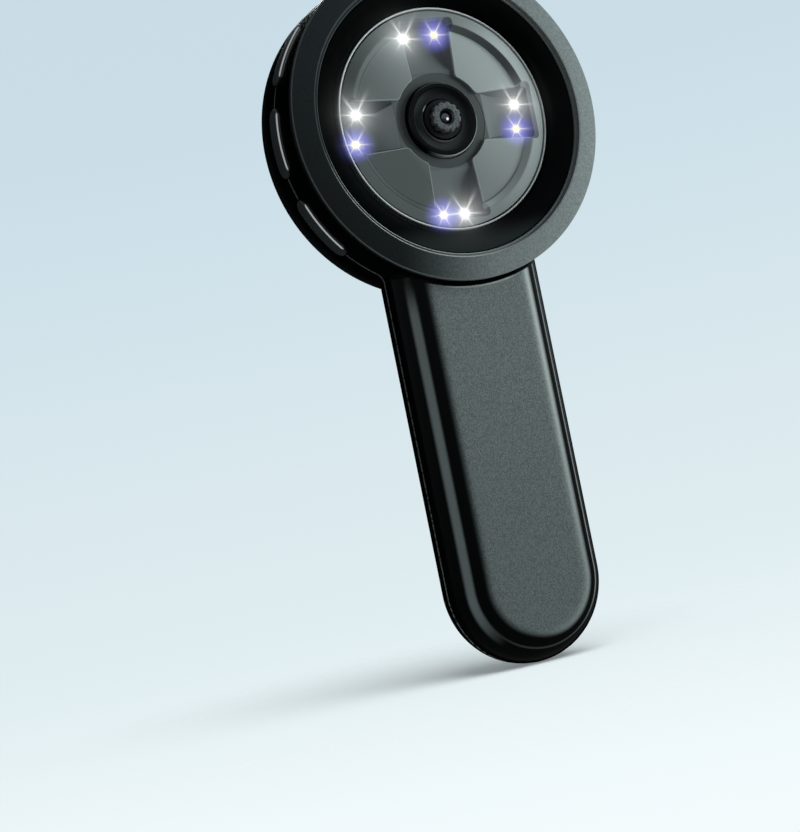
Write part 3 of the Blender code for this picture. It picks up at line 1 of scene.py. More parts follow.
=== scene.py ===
"""Looks for a handheld digital microscope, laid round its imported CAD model.

Every new piece is a surface worked out with numpy in the row frame: metres, +Z up along
the grip, front towards -Y. A depth is measured from the parting plane, positive towards
the front, so y = -depth."""

import math

import bmesh
import bpy
import numpy as np
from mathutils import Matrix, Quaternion, Vector


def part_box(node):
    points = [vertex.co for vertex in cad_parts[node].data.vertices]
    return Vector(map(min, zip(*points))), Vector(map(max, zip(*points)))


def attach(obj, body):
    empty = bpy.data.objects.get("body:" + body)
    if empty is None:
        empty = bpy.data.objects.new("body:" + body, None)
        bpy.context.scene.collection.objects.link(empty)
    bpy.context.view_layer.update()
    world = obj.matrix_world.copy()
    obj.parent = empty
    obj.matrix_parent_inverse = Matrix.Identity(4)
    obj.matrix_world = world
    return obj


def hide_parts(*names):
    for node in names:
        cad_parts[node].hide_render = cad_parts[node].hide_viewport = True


bl_info = {
    "name": "Handheld Microscope Looks",
    "version": (1, 0, 0),
    "blender": (4, 5, 0),
    "location": "3D View > Sidebar > Microscope",
    "description": "Fine surfaces, finishes and a stage for the handheld microscope",
    "category": "Object",
}

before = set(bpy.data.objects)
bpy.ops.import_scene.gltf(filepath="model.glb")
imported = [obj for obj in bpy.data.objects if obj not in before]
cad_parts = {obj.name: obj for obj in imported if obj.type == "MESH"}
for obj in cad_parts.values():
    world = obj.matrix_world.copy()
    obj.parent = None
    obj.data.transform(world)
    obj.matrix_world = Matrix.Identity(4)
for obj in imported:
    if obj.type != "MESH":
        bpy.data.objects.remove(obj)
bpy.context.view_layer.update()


def radius_of(node):
    low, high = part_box(node)
    return (high.x - low.x) / 2


def front_of(node):
    return -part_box(node)[0].y


def back_of(node):
    return -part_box(node)[1].y


def middle_of(node):
    low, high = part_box(node)
    return (low + high) / 2


# Places read from the frame
HEAD_HEIGHT = middle_of("contact_ring").z
HEAD_RADIUS = radius_of("contact_ring")
GRIP_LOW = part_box("front_shell")[0].z
REAR_FACE = back_of("rear_shell")
CLEARANCE = 0.0003
SEAL_GAP = 0.00002
SOCKET_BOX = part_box("usb_socket")
RING_SEAT = front_of("front_shell") + CLEARANCE
HEAD_SHOULDER = front_of("contact_ring") - 0.0014
# How far the reflector's body stands back from its rim, and a tool from the case
PLATE_STEP = 0.001
TOOL_REACH = 0.003

# Mesh fineness
HEAD_STEPS = 110
NEAR_STEPS = 10
LAST_EVEN_TURN = math.radians(-50)
NECK_STEPS = 12
SIDE_STEPS = 24
END_STEPS = 30
FILLET_STEPS = 14
TURN_STEPS = 192
SMALL_TURN_STEPS = 96
ROUND_STEPS = 4
SHARP_ANGLE = math.radians(38)
MERGE_DISTANCE = 0.0000005


def length(name, default, description):
    return bpy.props.FloatProperty(
        name=name, description=description, default=default, min=0, unit="LENGTH", subtype="DISTANCE"
    )


def colour(name, default, description):
    return bpy.props.FloatVectorProperty(
        name=name, description=description, default=default, size=3, min=0, max=1, subtype="COLOR"
    )


def number(name, default, description):
    return bpy.props.FloatProperty(name=name, description=description, default=default, min=0)


class HousingSizes(bpy.types.PropertyGroup):
    """The two halves of the case."""

    grip_half_width: length("Grip Half Width", 0.019, "Half the width of the grip")
    neck: length("Neck Radius", 0.003, "Hollow radius where the grip meets the head")
    neck_top: length("Neck Top Radius", 0.0006, "The same radius at the grip's front face")
    grip_front: length("Grip Front", 0.0084, "Depth of the grip's flat front")
    front_fillet: length("Front Fillet", 0.0081, "Rounding of the grip's front edge")
    rear_fillet: length("Rear Fillet", 0.0095, "Rounding of the grip's rear edge")
    head_fillet: length("Head Rear Fillet", 0.0014, "Rounding of the head's rear edge")
    wall: length("Wall", 0.0018, "Thickness of the case")
    seam: length("Seam", 0.0003, "Gap between the two halves")
    edge: length("Edge Rounding", 0.00018, "Rounding of small edges")
    groove: length("Neck Groove", 0.0006, "Width and depth of the groove round the head's foot")


class FrontSizes(bpy.types.PropertyGroup):
    """The contact ring, the light well and the reflector."""

    ring_width: length("Ring Width", 0.0052, "Width of the cone round the well")
    ring_height: length("Ring Edge Height", 0.0011, "Height of the ring's outer edge")
    ring_rise: length("Ring Rise", 0.0012, "How far the cone rises inwards")
    ring_land: length("Ring Land", 0.0004, "Flat width at the top of the cone")
    step_width: length("Step Width", 0.0008, "Width of the step inside the cone")
    step_drop: length("Step Drop", 0.0006, "Depth of the step inside the cone")
    lip_height: length("Lip Height", 0.0013, "Height of the bore below the step")
    trim_width: length("Trim Width", 0.00042, "Width of the bright ring")
    land_width: length("Land Width", 0.0026, "Flat rim of the reflector")
    sector_slope: length("Sector Slope", 0.00145, "Width of the slope inside the rim")
    sector_drop: length("Sector Drop", 0.0012, "Depth of the sectors below the rim")
    hub_radius: length("Hub Radius", 0.0112, "Radius of the reflector's hub")
    hub_drop: length("Hub Drop", 0.0008, "Depth of the hub below the sectors")
    channel_start: length("Channel Start", 0.0056, "Half width of a light channel at the hub")
    channel_end: length("Channel End", 0.0063, "Half width of a light channel at its outer end")
    channel_wall: length("Channel End Wall", 0.0019, "Rim left outside a light channel")
    channel_fall: length("Channel Fall", 0.0025, "How much deeper a channel is at its outer end")
    channel_corner: length("Channel Corner", 0.001, "Rounding of a channel's corners")
    channel_draft: number("Channel Draft", 0.5, "Width of a channel's sloping wall as a share of its height")


class LensSizes(bpy.types.PropertyGroup):
    """The collar, the lens head and its glass."""

    collar_edge: length("Collar Edge", 0.0008, "Rounding of the collar's outer edge")
    collar_dish: length("Collar Dish", 0.0007, "Depth of the collar's dish")
    collar_bore: length("Collar Bore", 0.0049, "Radius of the collar's bore")
    collar_lip: length("Collar Lip", 0.0004, "Width of the lip round the bore")
    head_height: length("Lens Head Height", 0.0018, "Height of the scalloped lens head")
    scallop: length("Scallop Depth", 0.00035, "Depth of the grip scallops")
    scallops: bpy.props.IntProperty(
        name="Scallops", description="Scallops round the lens head", default=12, min=3
    )
    mouth: length("Lens Mouth", 0.0019, "Radius of the opening in the lens head")
    bore: length("Lens Bore", 0.0015, "Radius of the bore behind the mouth")
    mouth_drop: length("Mouth Drop", 0.0006, "Depth of the tapered mouth")


class ButtonSizes(bpy.types.PropertyGroup):
    """The three side buttons."""

    half_length: length("Button Half Length", 0.008, "Half the length along the rim")
    half_width: length("Button Half Width", 0.00225, "Half the width across the rim")
    proud: length("Button Proud", 0.0005, "How far a button stands out")
    edge: length("Button Edge", 0.0004, "Rounding of a button's face")
    gap: length("Button Gap", 0.00025, "Gap round a button in the case")
    pitch: length("Button Pitch", 0.02155, "Distance between buttons along the rim")


class Colours(bpy.types.PropertyGroup):
    """The colours of the finishes."""

    gloss: colour("Gloss Black", (0.0016, 0.0020, 0.0020), "Polished case sides and light well")
    panel: colour("Grip Panel", (0.097, 0.112, 0.111), "Fine-grained face of the grip")
    ring: colour("Contact Ring", (0.165, 0.186, 0.187), "Matt cone round the well")
    reflector: colour("Reflector", (0.46, 0.51, 0.51), "Satin grey reflector")
    silver: colour("Silver", (0.74, 0.76, 0.75), "Bright trim ring")
    lens_head: colour("Lens Head", (0.13, 0.137, 0.136), "Mottled metal of the lens head")
    button: colour("Button", (0.050, 0.056, 0.057), "Soft-touch buttons")
    white_light: colour("White Light", (0.96, 0.99, 1.0), "Light of the white lamps")
    violet_light: colour("Violet Light", (0.09, 0.09, 0.62), "Light of the ultraviolet lamps")
    backdrop_low: colour("Backdrop Low", (0.75, 0.85, 0.875), "Backdrop below the horizon")
    backdrop_high: colour("Backdrop High", (0.585, 0.72, 0.80), "Backdrop above the horizon")
    backdrop_foot: colour("Backdrop Foot", (0.89, 0.96, 0.98), "Backdrop far below the horizon")


class StageSettings(bpy.types.PropertyGroup):
    """Camera, lamps and floor."""

    camera_place: bpy.props.FloatVectorProperty(
        name="Camera Place", description="Where the camera stands", default=(-0.18493, -0.36265, -0.00338),
        size=3, subtype="TRANSLATION", unit="LENGTH",
    )
    camera_aim: bpy.props.FloatVectorProperty(
        name="Camera Aim", description="A point on the camera's axis", default=(-0.02660, -0.01086, 0.01671),
        size=3, subtype="TRANSLATION", unit="LENGTH",
    )
    camera_roll: bpy.props.FloatProperty(
        name="Camera Roll", description="Turn of the camera about its axis", default=math.radians(-11.35),
        subtype="ANGLE",
    )
    lens: number("Lens", 79.55, "Focal length in millimetres on a 36 mm sensor")
    world_light: number("World Light", 0.16, "Strength of the light from all round")
    key_light: number("Key Light", 11.7, "Radiance of the lamp on the right")
    edge_light: number("Edge Light", 1.5, "Radiance of the lamp seen in polished surfaces")
    back_light: number("Back Light", 9.0, "Radiance of the lamp behind the object")
    floor_shadow: number("Floor Shadow", 0.8, "Share of the floor's tone that shadows take away")
    floor_radius: length("Floor Radius", 0.17, "Radius at which the floor has faded out")


def sizes(group):
    return getattr(bpy.context.scene, "microscope_" + group)


# Mesh code


def polar(radius, angle):
    """(radius cos angle, radius sin angle), for whole arrays."""
    return np.stack(np.broadcast_arrays(radius * np.cos(angle), radius * np.sin(angle)), axis=-1)


def lay(outline, depth, height=HEAD_HEIGHT):
    """Puts (x, z) points at their depths: (x, -depth, z + height)."""
    depth = np.broadcast_to(depth, outline.shape[:-1])
    return np.stack([outline[..., 0], -depth, outline[..., 1] + height], axis=-1)


def add_object(name, data):
    """Adds an object that shows some data to the scene."""
    thing = bpy.data.objects.new(name, data)
    bpy.context.collection.objects.link(thing)
    return thing


def grid_mesh(name, points, index, materials):
    """Quads between neighbours in a grid of the points' numbers."""
    quads = np.stack([index[:-1, :-1], index[:-1, 1:], index[1:, 1:], index[1:, :-1]], axis=-1)
    mesh = bpy.data.meshes.new(name)
    mesh.from_pydata(points.reshape(-1, 3).tolist(), [], quads.reshape(-1, 4).tolist())
    for material in materials:
        mesh.materials.append(material)
    return mesh


def surface(name, points, materials, along=True, bands=()):
    """Quads between neighbours of a grid of points. Columns join all the way round, and
    along joins the last row to the first. A band (first row, last row, index) gives its
    rows another material."""
    rows, columns = points.shape[:2]
    index = np.arange(rows * columns).reshape(rows, columns)
    index = np.hstack([index, index[:, :1]])
    if along:
        index = np.vstack([index, index[:1]])
    mesh = grid_mesh(name, points, index, materials)
    finish_of_row = np.zeros(len(index) - 1, np.int32)
    for first, last, material_index in bands:
        finish_of_row[first:last] = material_index
    mesh.polygons.foreach_set("material_index", np.repeat(finish_of_row, columns))
    close_up(mesh)
    return add_object(name, mesh)


def close_up(mesh, flats=False):
    """Merges points that meet at poles and seams, and turns all faces outwards. Flats
    makes the borders of the faces that look straight forwards sharp, so that these stay even."""
    build = bmesh.new()
    build.from_mesh(mesh)
    bmesh.ops.remove_doubles(build, verts=build.verts, dist=MERGE_DISTANCE)
    bmesh.ops.dissolve_degenerate(build, edges=build.edges, dist=MERGE_DISTANCE)
    bmesh.ops.recalc_face_normals(build, faces=build.faces)
    build.to_mesh(mesh)
    build.free()
    mesh.shade_smooth()
    mesh.set_sharp_from_angle(angle=SHARP_ANGLE)
    if flats:
        normals = np.empty(len(mesh.polygons) * 3, np.float32)
        sides = np.empty(len(mesh.polygons), np.int32)
        edges = np.empty(len(mesh.loops), np.int32)
        marks = np.empty(len(mesh.edges), bool)
        mesh.polygons.foreach_get("normal", normals)
        mesh.polygons.foreach_get("loop_total", sides)
        mesh.loops.foreach_get("edge_index", edges)
        flat = np.repeat(np.abs(normals[1::3]) > 0.9999, sides)
        share = np.bincount(edges, weights=flat, minlength=len(marks))
        sharp = mesh.attributes["sharp_edge"]
        sharp.data.foreach_get("value", marks)
        sharp.data.foreach_set("value", marks | (share == 1))


def rounded(corners, reach, steps=ROUND_STEPS):
    """A chain of (radius, depth) corners with each corner P bridged by a parabola between
    points A and B at its reach along both sides: (1-t)^2 A + 2t(1-t) P + t^2 B."""
    corners = np.array(corners, float)
    reach = np.broadcast_to(np.asarray(reach, float), len(corners))[:, None]
    before = np.roll(corners, 1, axis=0) - corners
    after = np.roll(corners, -1, axis=0) - corners
    start = corners + before / np.linalg.norm(before, axis=1)[:, None] * reach
    end = corners + after / np.linalg.norm(after, axis=1)[:, None] * reach
    share = np.linspace(0, 1, steps + 1)[None, :, None]
    points = (1 - share) ** 2 * start[:, None]
    points = points + 2 * share * (1 - share) * corners[:, None] + share**2 * end[:, None]
    return points.reshape(-1, 2)


def turned(name, profile, materials, steps=TURN_STEPS, bands=()):
    """A profile of (radius, depth) points carried round the head's axis:
    x = radius cos angle, z = radius sin angle. A profile that starts on the axis stays open."""
    angles = np.arange(steps) * math.tau / steps
    outline = polar(profile[:, :1], angles[None, :])
    closed = profile[0, 0] > 0
    return surface(name, lay(outline, profile[:, 1:]), materials, along=closed, bands=bands)


def carve(piece, tools, flats=False):
    """Cuts tools out of a piece, keeps the result as its own mesh and removes the tools."""
    for tool in tools:
        modifier = piece.modifiers.new(tool.name, "BOOLEAN")
        modifier.operation = "DIFFERENCE"
        modifier.solver = "EXACT"
        modifier.object = tool
    depsgraph = bpy.context.evaluated_depsgraph_get()
    mesh = bpy.data.meshes.new_from_object(piece.evaluated_get(depsgraph))
    piece.modifiers.clear()
    old, piece.data = piece.data, mesh
    mesh.name = piece.name
    bpy.data.meshes.remove(old)
    close_up(mesh, flats)
    for tool in tools:
        bpy.data.objects.remove(tool, do_unlink=True)


def check_closed(piece):
    """Raises an error for a mesh that is empty or has an edge without two faces."""
    mesh = piece.data
    edges = np.empty(len(mesh.loops), np.int32)
    mesh.loops.foreach_get("edge_index", edges)
    uses = np.bincount(edges, minlength=len(mesh.edges))
    if not len(edges) or np.any(uses != 2):
        raise RuntimeError(f"The surface of {piece.name} is empty or open")


def wear(piece, body, slot, *nodes):
    """Rides a piece on its body and hides the CAD nodes it shows. The slot it gets is not used."""
    check_closed(piece)
    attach(piece, body)
    if nodes:
        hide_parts(*nodes)
    return piece


# Shader code


class Value:
    """A number that varies over a surface. Each sum adds a Math node."""

    def __init__(self, paint, socket):
        self.paint = paint
        self.socket = socket

    def __add__(self, other):
        return self.paint.math("ADD", self, other)

    def __sub__(self, other):
        return self.paint.math("SUBTRACT", self, other)

    def __rsub__(self, other):
        return self.paint.math("SUBTRACT", other, self)

    def __mul__(self, other):
        return self.paint.math("MULTIPLY", self, other)

    def __truediv__(self, other):
        return self.paint.math("DIVIDE", self, other)

    def __pow__(self, other):
        return self.paint.math("POWER", self, other)

    def __neg__(self):
        return self * -1

    def __abs__(self):
        return self.paint.math("ABSOLUTE", self)


class Paint:
    """A node tree and the expressions that build it."""

    def __init__(self, tree):
        self.tree = tree

    def clear(self):
        for node in list(self.tree.nodes):
            self.tree.nodes.remove(node)

    def node(self, kind, settings=(), inputs=(), output=0):
        """Adds a node, applies its settings, then sets or links its sockets."""
        node = self.tree.nodes.new(kind)
        for key, value in dict(settings).items():
            setattr(node, key, value)
        for key, value in dict(inputs).items():
            self.feed(node.inputs[key], value)
        return Value(self, node.outputs[output] if node.outputs else None)

    def feed(self, socket, value):
        if isinstance(value, Value):
            self.tree.links.new(value.socket, socket)
        elif socket.type == "RGBA" and len(value) == 3:
            socket.default_value = (*value, 1)
        else:
            socket.default_value = value

    def math(self, operation, first, second=0.0):
        return self.node("ShaderNodeMath", {"operation": operation}, {0: first, 1: second})

    def smallest(self, first, second):
        return self.math("MINIMUM", first, second)

    def largest(self, first, second):
        return self.math("MAXIMUM", first, second)

    def distance(self, across, upright):
        """The square root of across^2 + upright^2."""
        return (across * across + upright * upright) ** 0.5

    def decay(self, value):
        """exp(-value)"""
        return self.math("EXPONENT", -value)

    def step(self, value, low, high):
        """A smooth step: 0 below low, 1 above high, 3t^2 - 2t^3 between them."""
        settings = {"interpolation_type": "SMOOTHSTEP"}
        return self.node("ShaderNodeMapRange", settings, {"Value": value, "From Min": low, "From Max": high})

    def line(self, value, inner, outer):
        """1 where a value is 0, falling smoothly to 0 between two distances from it."""
        return 1 - self.step(abs(value), inner, outer)

    def blend(self, share, first, second):
        """A number from two numbers."""
        return first + (second - first) * share

    def mix(self, share, first, second):
        """A colour from two colours."""
        settings = {"data_type": "RGBA"}
        return self.node("ShaderNodeMix", settings, {0: share, 6: first, 7: second}, output=2)

    def scaled(self, shade, factor):
        """A colour times a number that varies."""
        return self.node("ShaderNodeVectorMath", {"operation": "SCALE"}, {0: shade, 3: factor})

    def added(self, first, second):
        return self.node("ShaderNodeVectorMath", {"operation": "ADD"}, {0: first, 1: second})


class Finish(Paint):
    """A material on Object coordinates."""

    def __init__(self, name, numbers):
        self.material = bpy.data.materials.new(name)
        self.material.use_nodes = True
        super().__init__(self.material.node_tree)
        self.shader = self.tree.nodes["Principled BSDF"]
        for socket, value in numbers.items():
            self.feed(self.shader.inputs[socket], value)
        self.place = self.node("ShaderNodeTexCoord", output=3)
        split = self.node("ShaderNodeSeparateXYZ", inputs={0: self.place}).socket.node
        self.x, self.y, self.z = (Value(self, socket) for socket in split.outputs)

    @property
    def depth(self):
        """Depth in front of the parting plane."""
        return -self.y

    @property
    def rise(self):
        """Height above the head's axis."""
        return self.z - HEAD_HEIGHT

    @property
    def radius(self):
        """Distance from the head's axis."""
        return self.distance(self.x, self.rise)

    def noise(self, size, detail=2.0, roughness=0.5):
        """Noise with features of a size in metres."""
        inputs = {"Vector": self.place, "Scale": 1 / size, "Detail": detail, "Roughness": roughness}
        return self.node("ShaderNodeTexNoise", inputs=inputs)

    def varied(self, shade, noise, strength):
        """A colour that varies with a noise by a strength round its own value."""
        low = tuple(channel * (1 - strength) for channel in shade)
        high = tuple(channel * (1 + strength) for channel in shade)
        return self.mix(self.step(noise, 0.3, 0.7), low, high)

    def speckle(self, shade, size, strength):
        return self.varied(shade, self.noise(size, 3.0, 0.6), strength)

    def wear(self, **channels):
        """Feeds Principled sockets that vary over the surface."""
        for name, value in channels.items():
            self.feed(self.shader.inputs[name.replace("_", " ").title()], value)
        return self

    def shine(self, light):
        self.feed(self.shader.inputs["Emission Strength"], 1.0)
        return self.wear(emission_color=light)

    def bump(self, height, distance):
        normal = self.node("ShaderNodeBump", inputs={"Strength": 1.0, "Distance": distance, "Height": height})
        return self.wear(normal=normal)


# How far the middle of each lamp's glare lies from the lamp, along x and z
GLARE_SHIFTS = {
    "white_led_top": (-0.0012, -0.0004), "uv_led_top": (0.0, 0.0),
    "white_led_right": (0.0, -0.0010), "uv_led_right": (-0.0008, 0.0),
    "white_led_bottom": (-0.0014, -0.0012), "uv_led_bottom": (0.0, -0.0010),
    "white_led_left": (0.0004, 0.0001), "uv_led_left": (-0.0010, 0.0002),
}
# How x and z turn into the glare's own axes
GLARE_ACROSS = (0.898, -0.191)
GLARE_UPRIGHT = (0.154, 0.98)
# The glare's core, rays and halo, and the colour of its light
RAY_PAIRS = 3
RAY_TURN = math.radians(15)
RAY_SHARPNESS = 26
RAY_LENGTH = 0.0027
UPRIGHT_STRETCH = 0.3
ACROSS_STRETCH = 0.08
CORE_LIGHT = 3
GLARES = {
    "white": {"core": 0.00092, "shrink": 1.12, "light": (0.99, 1.0, 1.0)},
    "uv": {"core": 0.00066, "shrink": 1.45, "light": (1.0, 0.97, 0.76)},
}
WHITE_HALO = 0.0019
WHITE_HALO_LIGHT = 0.9
VIOLET_HALO = (0.0002, 0.0050)
PALE_HALO = 0.0016
PALE_VIOLET = (0.62, 0.62, 1.0)


def camera_slopes():
    """How far a point seen from the camera shifts in x and z for each metre of y."""
    way = Vector(sizes("stage").camera_place) - Vector((0, 0, HEAD_HEIGHT))
    return way.x / way.y, way.z / way.y


def painted_lamp_glow(finish, strength=1.0):
    """Painted glare: the light that the lamps spread in front of them, painted as emission onto
    the lamps and the surfaces round them. In the view across a lamp's own depth, with a
    distance d and an angle a from the middle of the lamp's glare, a core
    exp(-(d / size)^2) with rays |cos(3a - turn)|^p exp(-(d / length)^2), longest upwards,
    covers a coloured halo: exp(-d / size) for white, and a smooth step for violet, which is
    paler near the lamp."""
    tones = sizes("colours")
    slope_x, slope_z = camera_slopes()
    total = None
    for node in lamp_nodes():
        kind = node.split("_")[0]
        glare = GLARES[kind]
        middle = middle_of(node)
        ahead = finish.depth - front_of(node)
        shift_x, shift_z = GLARE_SHIFTS[node]
        u = finish.x + ahead * slope_x - (middle.x + shift_x)
        v = finish.z + ahead * slope_z - (middle.z + shift_z)
        across, upright = (u * along_x + v * along_z for along_x, along_z in (GLARE_ACROSS, GLARE_UPRIGHT))
        distance = finish.distance(across, upright)
        angle = finish.math("ARCTAN2", upright, across)
        wave = abs(finish.math("COSINE", angle * RAY_PAIRS - RAY_TURN))
        shrink = glare["shrink"] - finish.math("SINE", angle) * UPRIGHT_STRETCH
        shrink = shrink - finish.math("COSINE", angle) * ACROSS_STRETCH
        rays = wave**RAY_SHARPNESS * finish.decay((distance * shrink / RAY_LENGTH) ** 2)
        core = finish.decay((distance / glare["core"]) ** 2) * CORE_LIGHT
        if kind == "white":
            halo = finish.decay(distance / WHITE_HALO) * WHITE_HALO_LIGHT
            tone = tones.white_light
        else:
            halo = 1 - finish.step(distance, *VIOLET_HALO)
            tone = finish.mix(finish.decay(distance / PALE_HALO), tones.violet_light, PALE_VIOLET)
        shown = finish.smallest(core + rays, 1.0)
        glow = finish.scaled(tone, halo * (1 - shown) * strength)
        glow = finish.added(glow, finish.scaled(glare["light"], shown * strength))
        total = glow if total is None else finish.added(total, glow)
    return finish.shine(total)


def plain_finish(name, shade, roughness, metallic=0.0, size=0.0006, strength=0.12, level=0.5, relief=0.0):
    """A finish with a speckle in its colour, an uneven gloss and a light grain."""
    unevenness = 0.2
    finish = Finish(name, {"Metallic": metallic, "Specular IOR Level": level})
    finish.wear(base_color=finish.speckle(shade, size, strength))
    finish.wear(roughness=finish.noise(size * 4) * unevenness + (roughness - unevenness / 2))
    if relief:
        finish.bump(finish.noise(size, 3.0), relief)
    return finish.material


def case_finish(name):
    """Polished black in front and satin at the rear. The grip's face is a fine-grained panel,
    with painted shade that makes it darker towards its foot and a painted highlight along its
    right edge. A painted reflection runs as a soft band along the grip's rounded edge on the
    left, and a painted highlight as a thin line on the right. Painted highlights also make a
    pale lip beside the groove at the head's foot and a pale line along the parting line,
    broken beside the grip."""
    tones, case = sizes("colours"), sizes("housing")
    # Tones of the painted highlights, of the painted reflection and of the painted highlight line
    pale, reflection_tone, painted_line_tone = (0.36, 0.385, 0.38), (0.27, 0.31, 0.31), (0.20, 0.21, 0.21)
    rear_tone, rear_coat = (0.013, 0.014, 0.0145), 0.5
    grain_size, grain_strength, grain_relief = 0.00034, 0.28, 0.00007
    highlight_line_place, reflection_place = case.front_fillet * 0.575, 0.0053
    finish = Finish(name, {"Specular IOR Level": 0.05, "Coat Roughness": 0.16})
    step, line = finish.step, finish.line
    flat = case.grip_half_width - case.front_fillet
    groove = HEAD_RADIUS + case.groove * 1.5
    below = finish.smallest(finish.z - (GRIP_LOW + case.grip_half_width), 0.0)
    reach = finish.distance(finish.x, below)
    turning = finish.x - below * 0.8
    radius = finish.radius
    outside = step(radius, groove - 0.0001, groove + 0.0001) * step(finish.depth, 0.002, 0.003)
    round_right = step(turning, -0.006, 0.006)

    right = step(finish.x, -0.006, 0.008)
    panel = 1 - step(reach, right * 0.0016 + (flat + 0.0004), right * 0.0009 + (flat + 0.0024))
    panel = panel * outside
    # Painted highlight: a pale band along the panel's right edge, weaker towards the foot
    painted_sheen = step(reach, flat + 0.0001, flat + 0.0021) ** 2 * round_right
    painted_sheen = painted_sheen * (step(finish.z, -0.045, 0.055) * 0.84 + 0.14)
    # Painted highlight on the rounded lip beside the groove at the head's foot
    lip = 1 - step(radius, groove + 0.0002, groove + 0.0006)
    lip = lip * line(finish.x - 0.001, flat * 0.55, flat)
    grain = finish.noise(grain_size, 2.0, 0.7)
    grey = finish.varied(tones.panel, grain, grain_strength)
    # Painted shade: the panel is darker towards the foot and lighter towards the top
    grey = finish.scaled(grey, step(finish.z, -0.040, 0.045) * 0.5 + 1)
    grey = finish.mix(finish.largest(painted_sheen * 0.95, lip * 0.8), grey, pale)

    # Painted reflection: a soft grey band along the grip's rounded left edge, where a strip lamp would be
    # mirrored
    painted_reflection = line(reach - (flat + reflection_place), 0.0004, 0.0011) * (1 - step(turning, -0.015, 0.001))
    painted_reflection = painted_reflection * (step(finish.z, -0.06, 0.04) * 0.65 + 0.45)
    painted_reflection = painted_reflection * outside * step(radius, groove, groove + 0.009)
    body = finish.mix(panel, finish.mix(painted_reflection, tones.gloss, reflection_tone), grey)

    # Painted highlight: a thin grey line along the grip's rounded right edge, fading under the foot
    edge = line(reach - (flat + highlight_line_place), 0.0001, 0.00032) * round_right * outside
    edge = edge * (1 - step(-below, 0.002, 0.015) * 0.75)
    # Painted highlight along the parting line: broken beside the grip and whole round the head
    broken = step(finish.noise(0.0006, 1.0), 0.30, 0.55) * (1 - step(finish.x, -0.01, 0.01) * 0.85)
    whole = (1 - step(radius, 0.039, 0.042)) * 0.55
    seam = line(finish.y, 0.00022, 0.00042) * finish.largest(broken, whole)
    rear = step(finish.y, 0.0045, 0.0085)
    body = finish.mix(rear, body, rear_tone)
    finish.wear(base_color=finish.mix(finish.largest(seam * 0.8, edge * 0.6), body, painted_line_tone))
    finish.wear(coat_weight=rear * rear_coat)
    finish.wear(roughness=panel * 0.28 + 0.15 + finish.noise(0.004) * 0.04)
    return finish.bump(grain * panel, grain_relief).material


def ring_finish(name):
    """Fine-grained matt grey, with painted shade that makes it darker on the left and darkest
    at its foot, and thin painted highlights on its outer edge and on both edges of the inner
    step, strongest at the lower left."""
    painted_shade_tone, edge_highlight_tone, highlight_tone = (0.0125, 0.016, 0.0165), (0.17, 0.185, 0.185), (0.42, 0.44, 0.44)
    front = sizes("front")
    finish = Finish(name, {"Specular IOR Level": 0.15})
    step = finish.step
    x, rise, depth, radius = finish.x, finish.rise, finish.depth, finish.radius
    inner = HEAD_RADIUS - front.ring_width
    bore = inner - front.step_width
    # Painted highlight on the ring's outer edge
    edge = step(radius, HEAD_RADIUS - 0.00032, HEAD_RADIUS - 0.0002)
    edge = edge * step(depth, HEAD_SHOULDER, HEAD_SHOULDER + 0.00006)
    # Painted highlights on both edges of the inner step, strongest at the lower left
    lower_left = step((x * -0.45 - rise * 0.89) / HEAD_RADIUS, 0.45, 0.85)
    bore_line = finish.line(radius - bore, 0.00010, 0.00022)
    bore_line = bore_line * step(depth, HEAD_SHOULDER, HEAD_SHOULDER + 0.0002)
    inner_line = finish.line(radius - inner, 0.00012, 0.00024)
    highlight_lines = finish.largest(inner_line, bore_line) * (lower_left * 0.88 + 0.10)
    # Painted shade: a darker tone on the left and at the foot, blended into the ring's own tone on the lit
    # right
    dark = finish.speckle(painted_shade_tone, 0.0004, 0.2)
    dark = finish.scaled(dark, step(rise / HEAD_RADIUS, -0.2, 0.8) * 0.5 + 1)
    lit = step((x - rise * 0.12) / HEAD_RADIUS, -0.42, 0.27)
    body = finish.mix(lit, dark, finish.speckle(sizes("colours").ring, 0.0005, 0.2))
    body = finish.mix(edge * 0.8, body, edge_highlight_tone)
    finish.wear(base_color=finish.mix(highlight_lines, body, highlight_tone))
    finish.wear(roughness=finish.noise(0.003) * 0.08 + 0.40)
    return finish.bump(finish.noise(0.00028, 2.0, 0.7), 0.000015).material


def turned_metal(name, shade, roughness, strength):
    """Half metallic, with fine circular marks: noise that depends on the radius alone. It
    grows darker towards the right, away from the side that the backdrop lights."""
    marks_per_metre, darkening = 30000, 0.75
    finish = Finish(name, {"Metallic": 0.35, "Specular IOR Level": 0.3})
    inputs = {"W": finish.radius * marks_per_metre}
    marks = finish.node("ShaderNodeTexNoise", {"noise_dimensions": "1D"}, inputs)
    # Painted shade: the trim's colour darkens towards the right
    right = finish.step(finish.x - finish.rise * 0.4, -0.006, 0.026)
    dark = tuple(channel * darkening for channel in shade)
    body = finish.mix(right, finish.speckle(shade, 0.001, 0.04), dark)
    finish.wear(base_color=body, roughness=marks * strength + (roughness - strength / 2))
    return painted_lamp_glow(finish, 0.5).material


def channel_round(inset=0.0):
    """The centre of the round that joins a channel's side to the hub's circle, a corner's
    radius off both. Inset draws the side in."""
    size = sizes("front")
    rise = size.channel_start - inset + size.channel_corner
    return math.sqrt((size.hub_radius + size.channel_corner) ** 2 - rise**2), rise


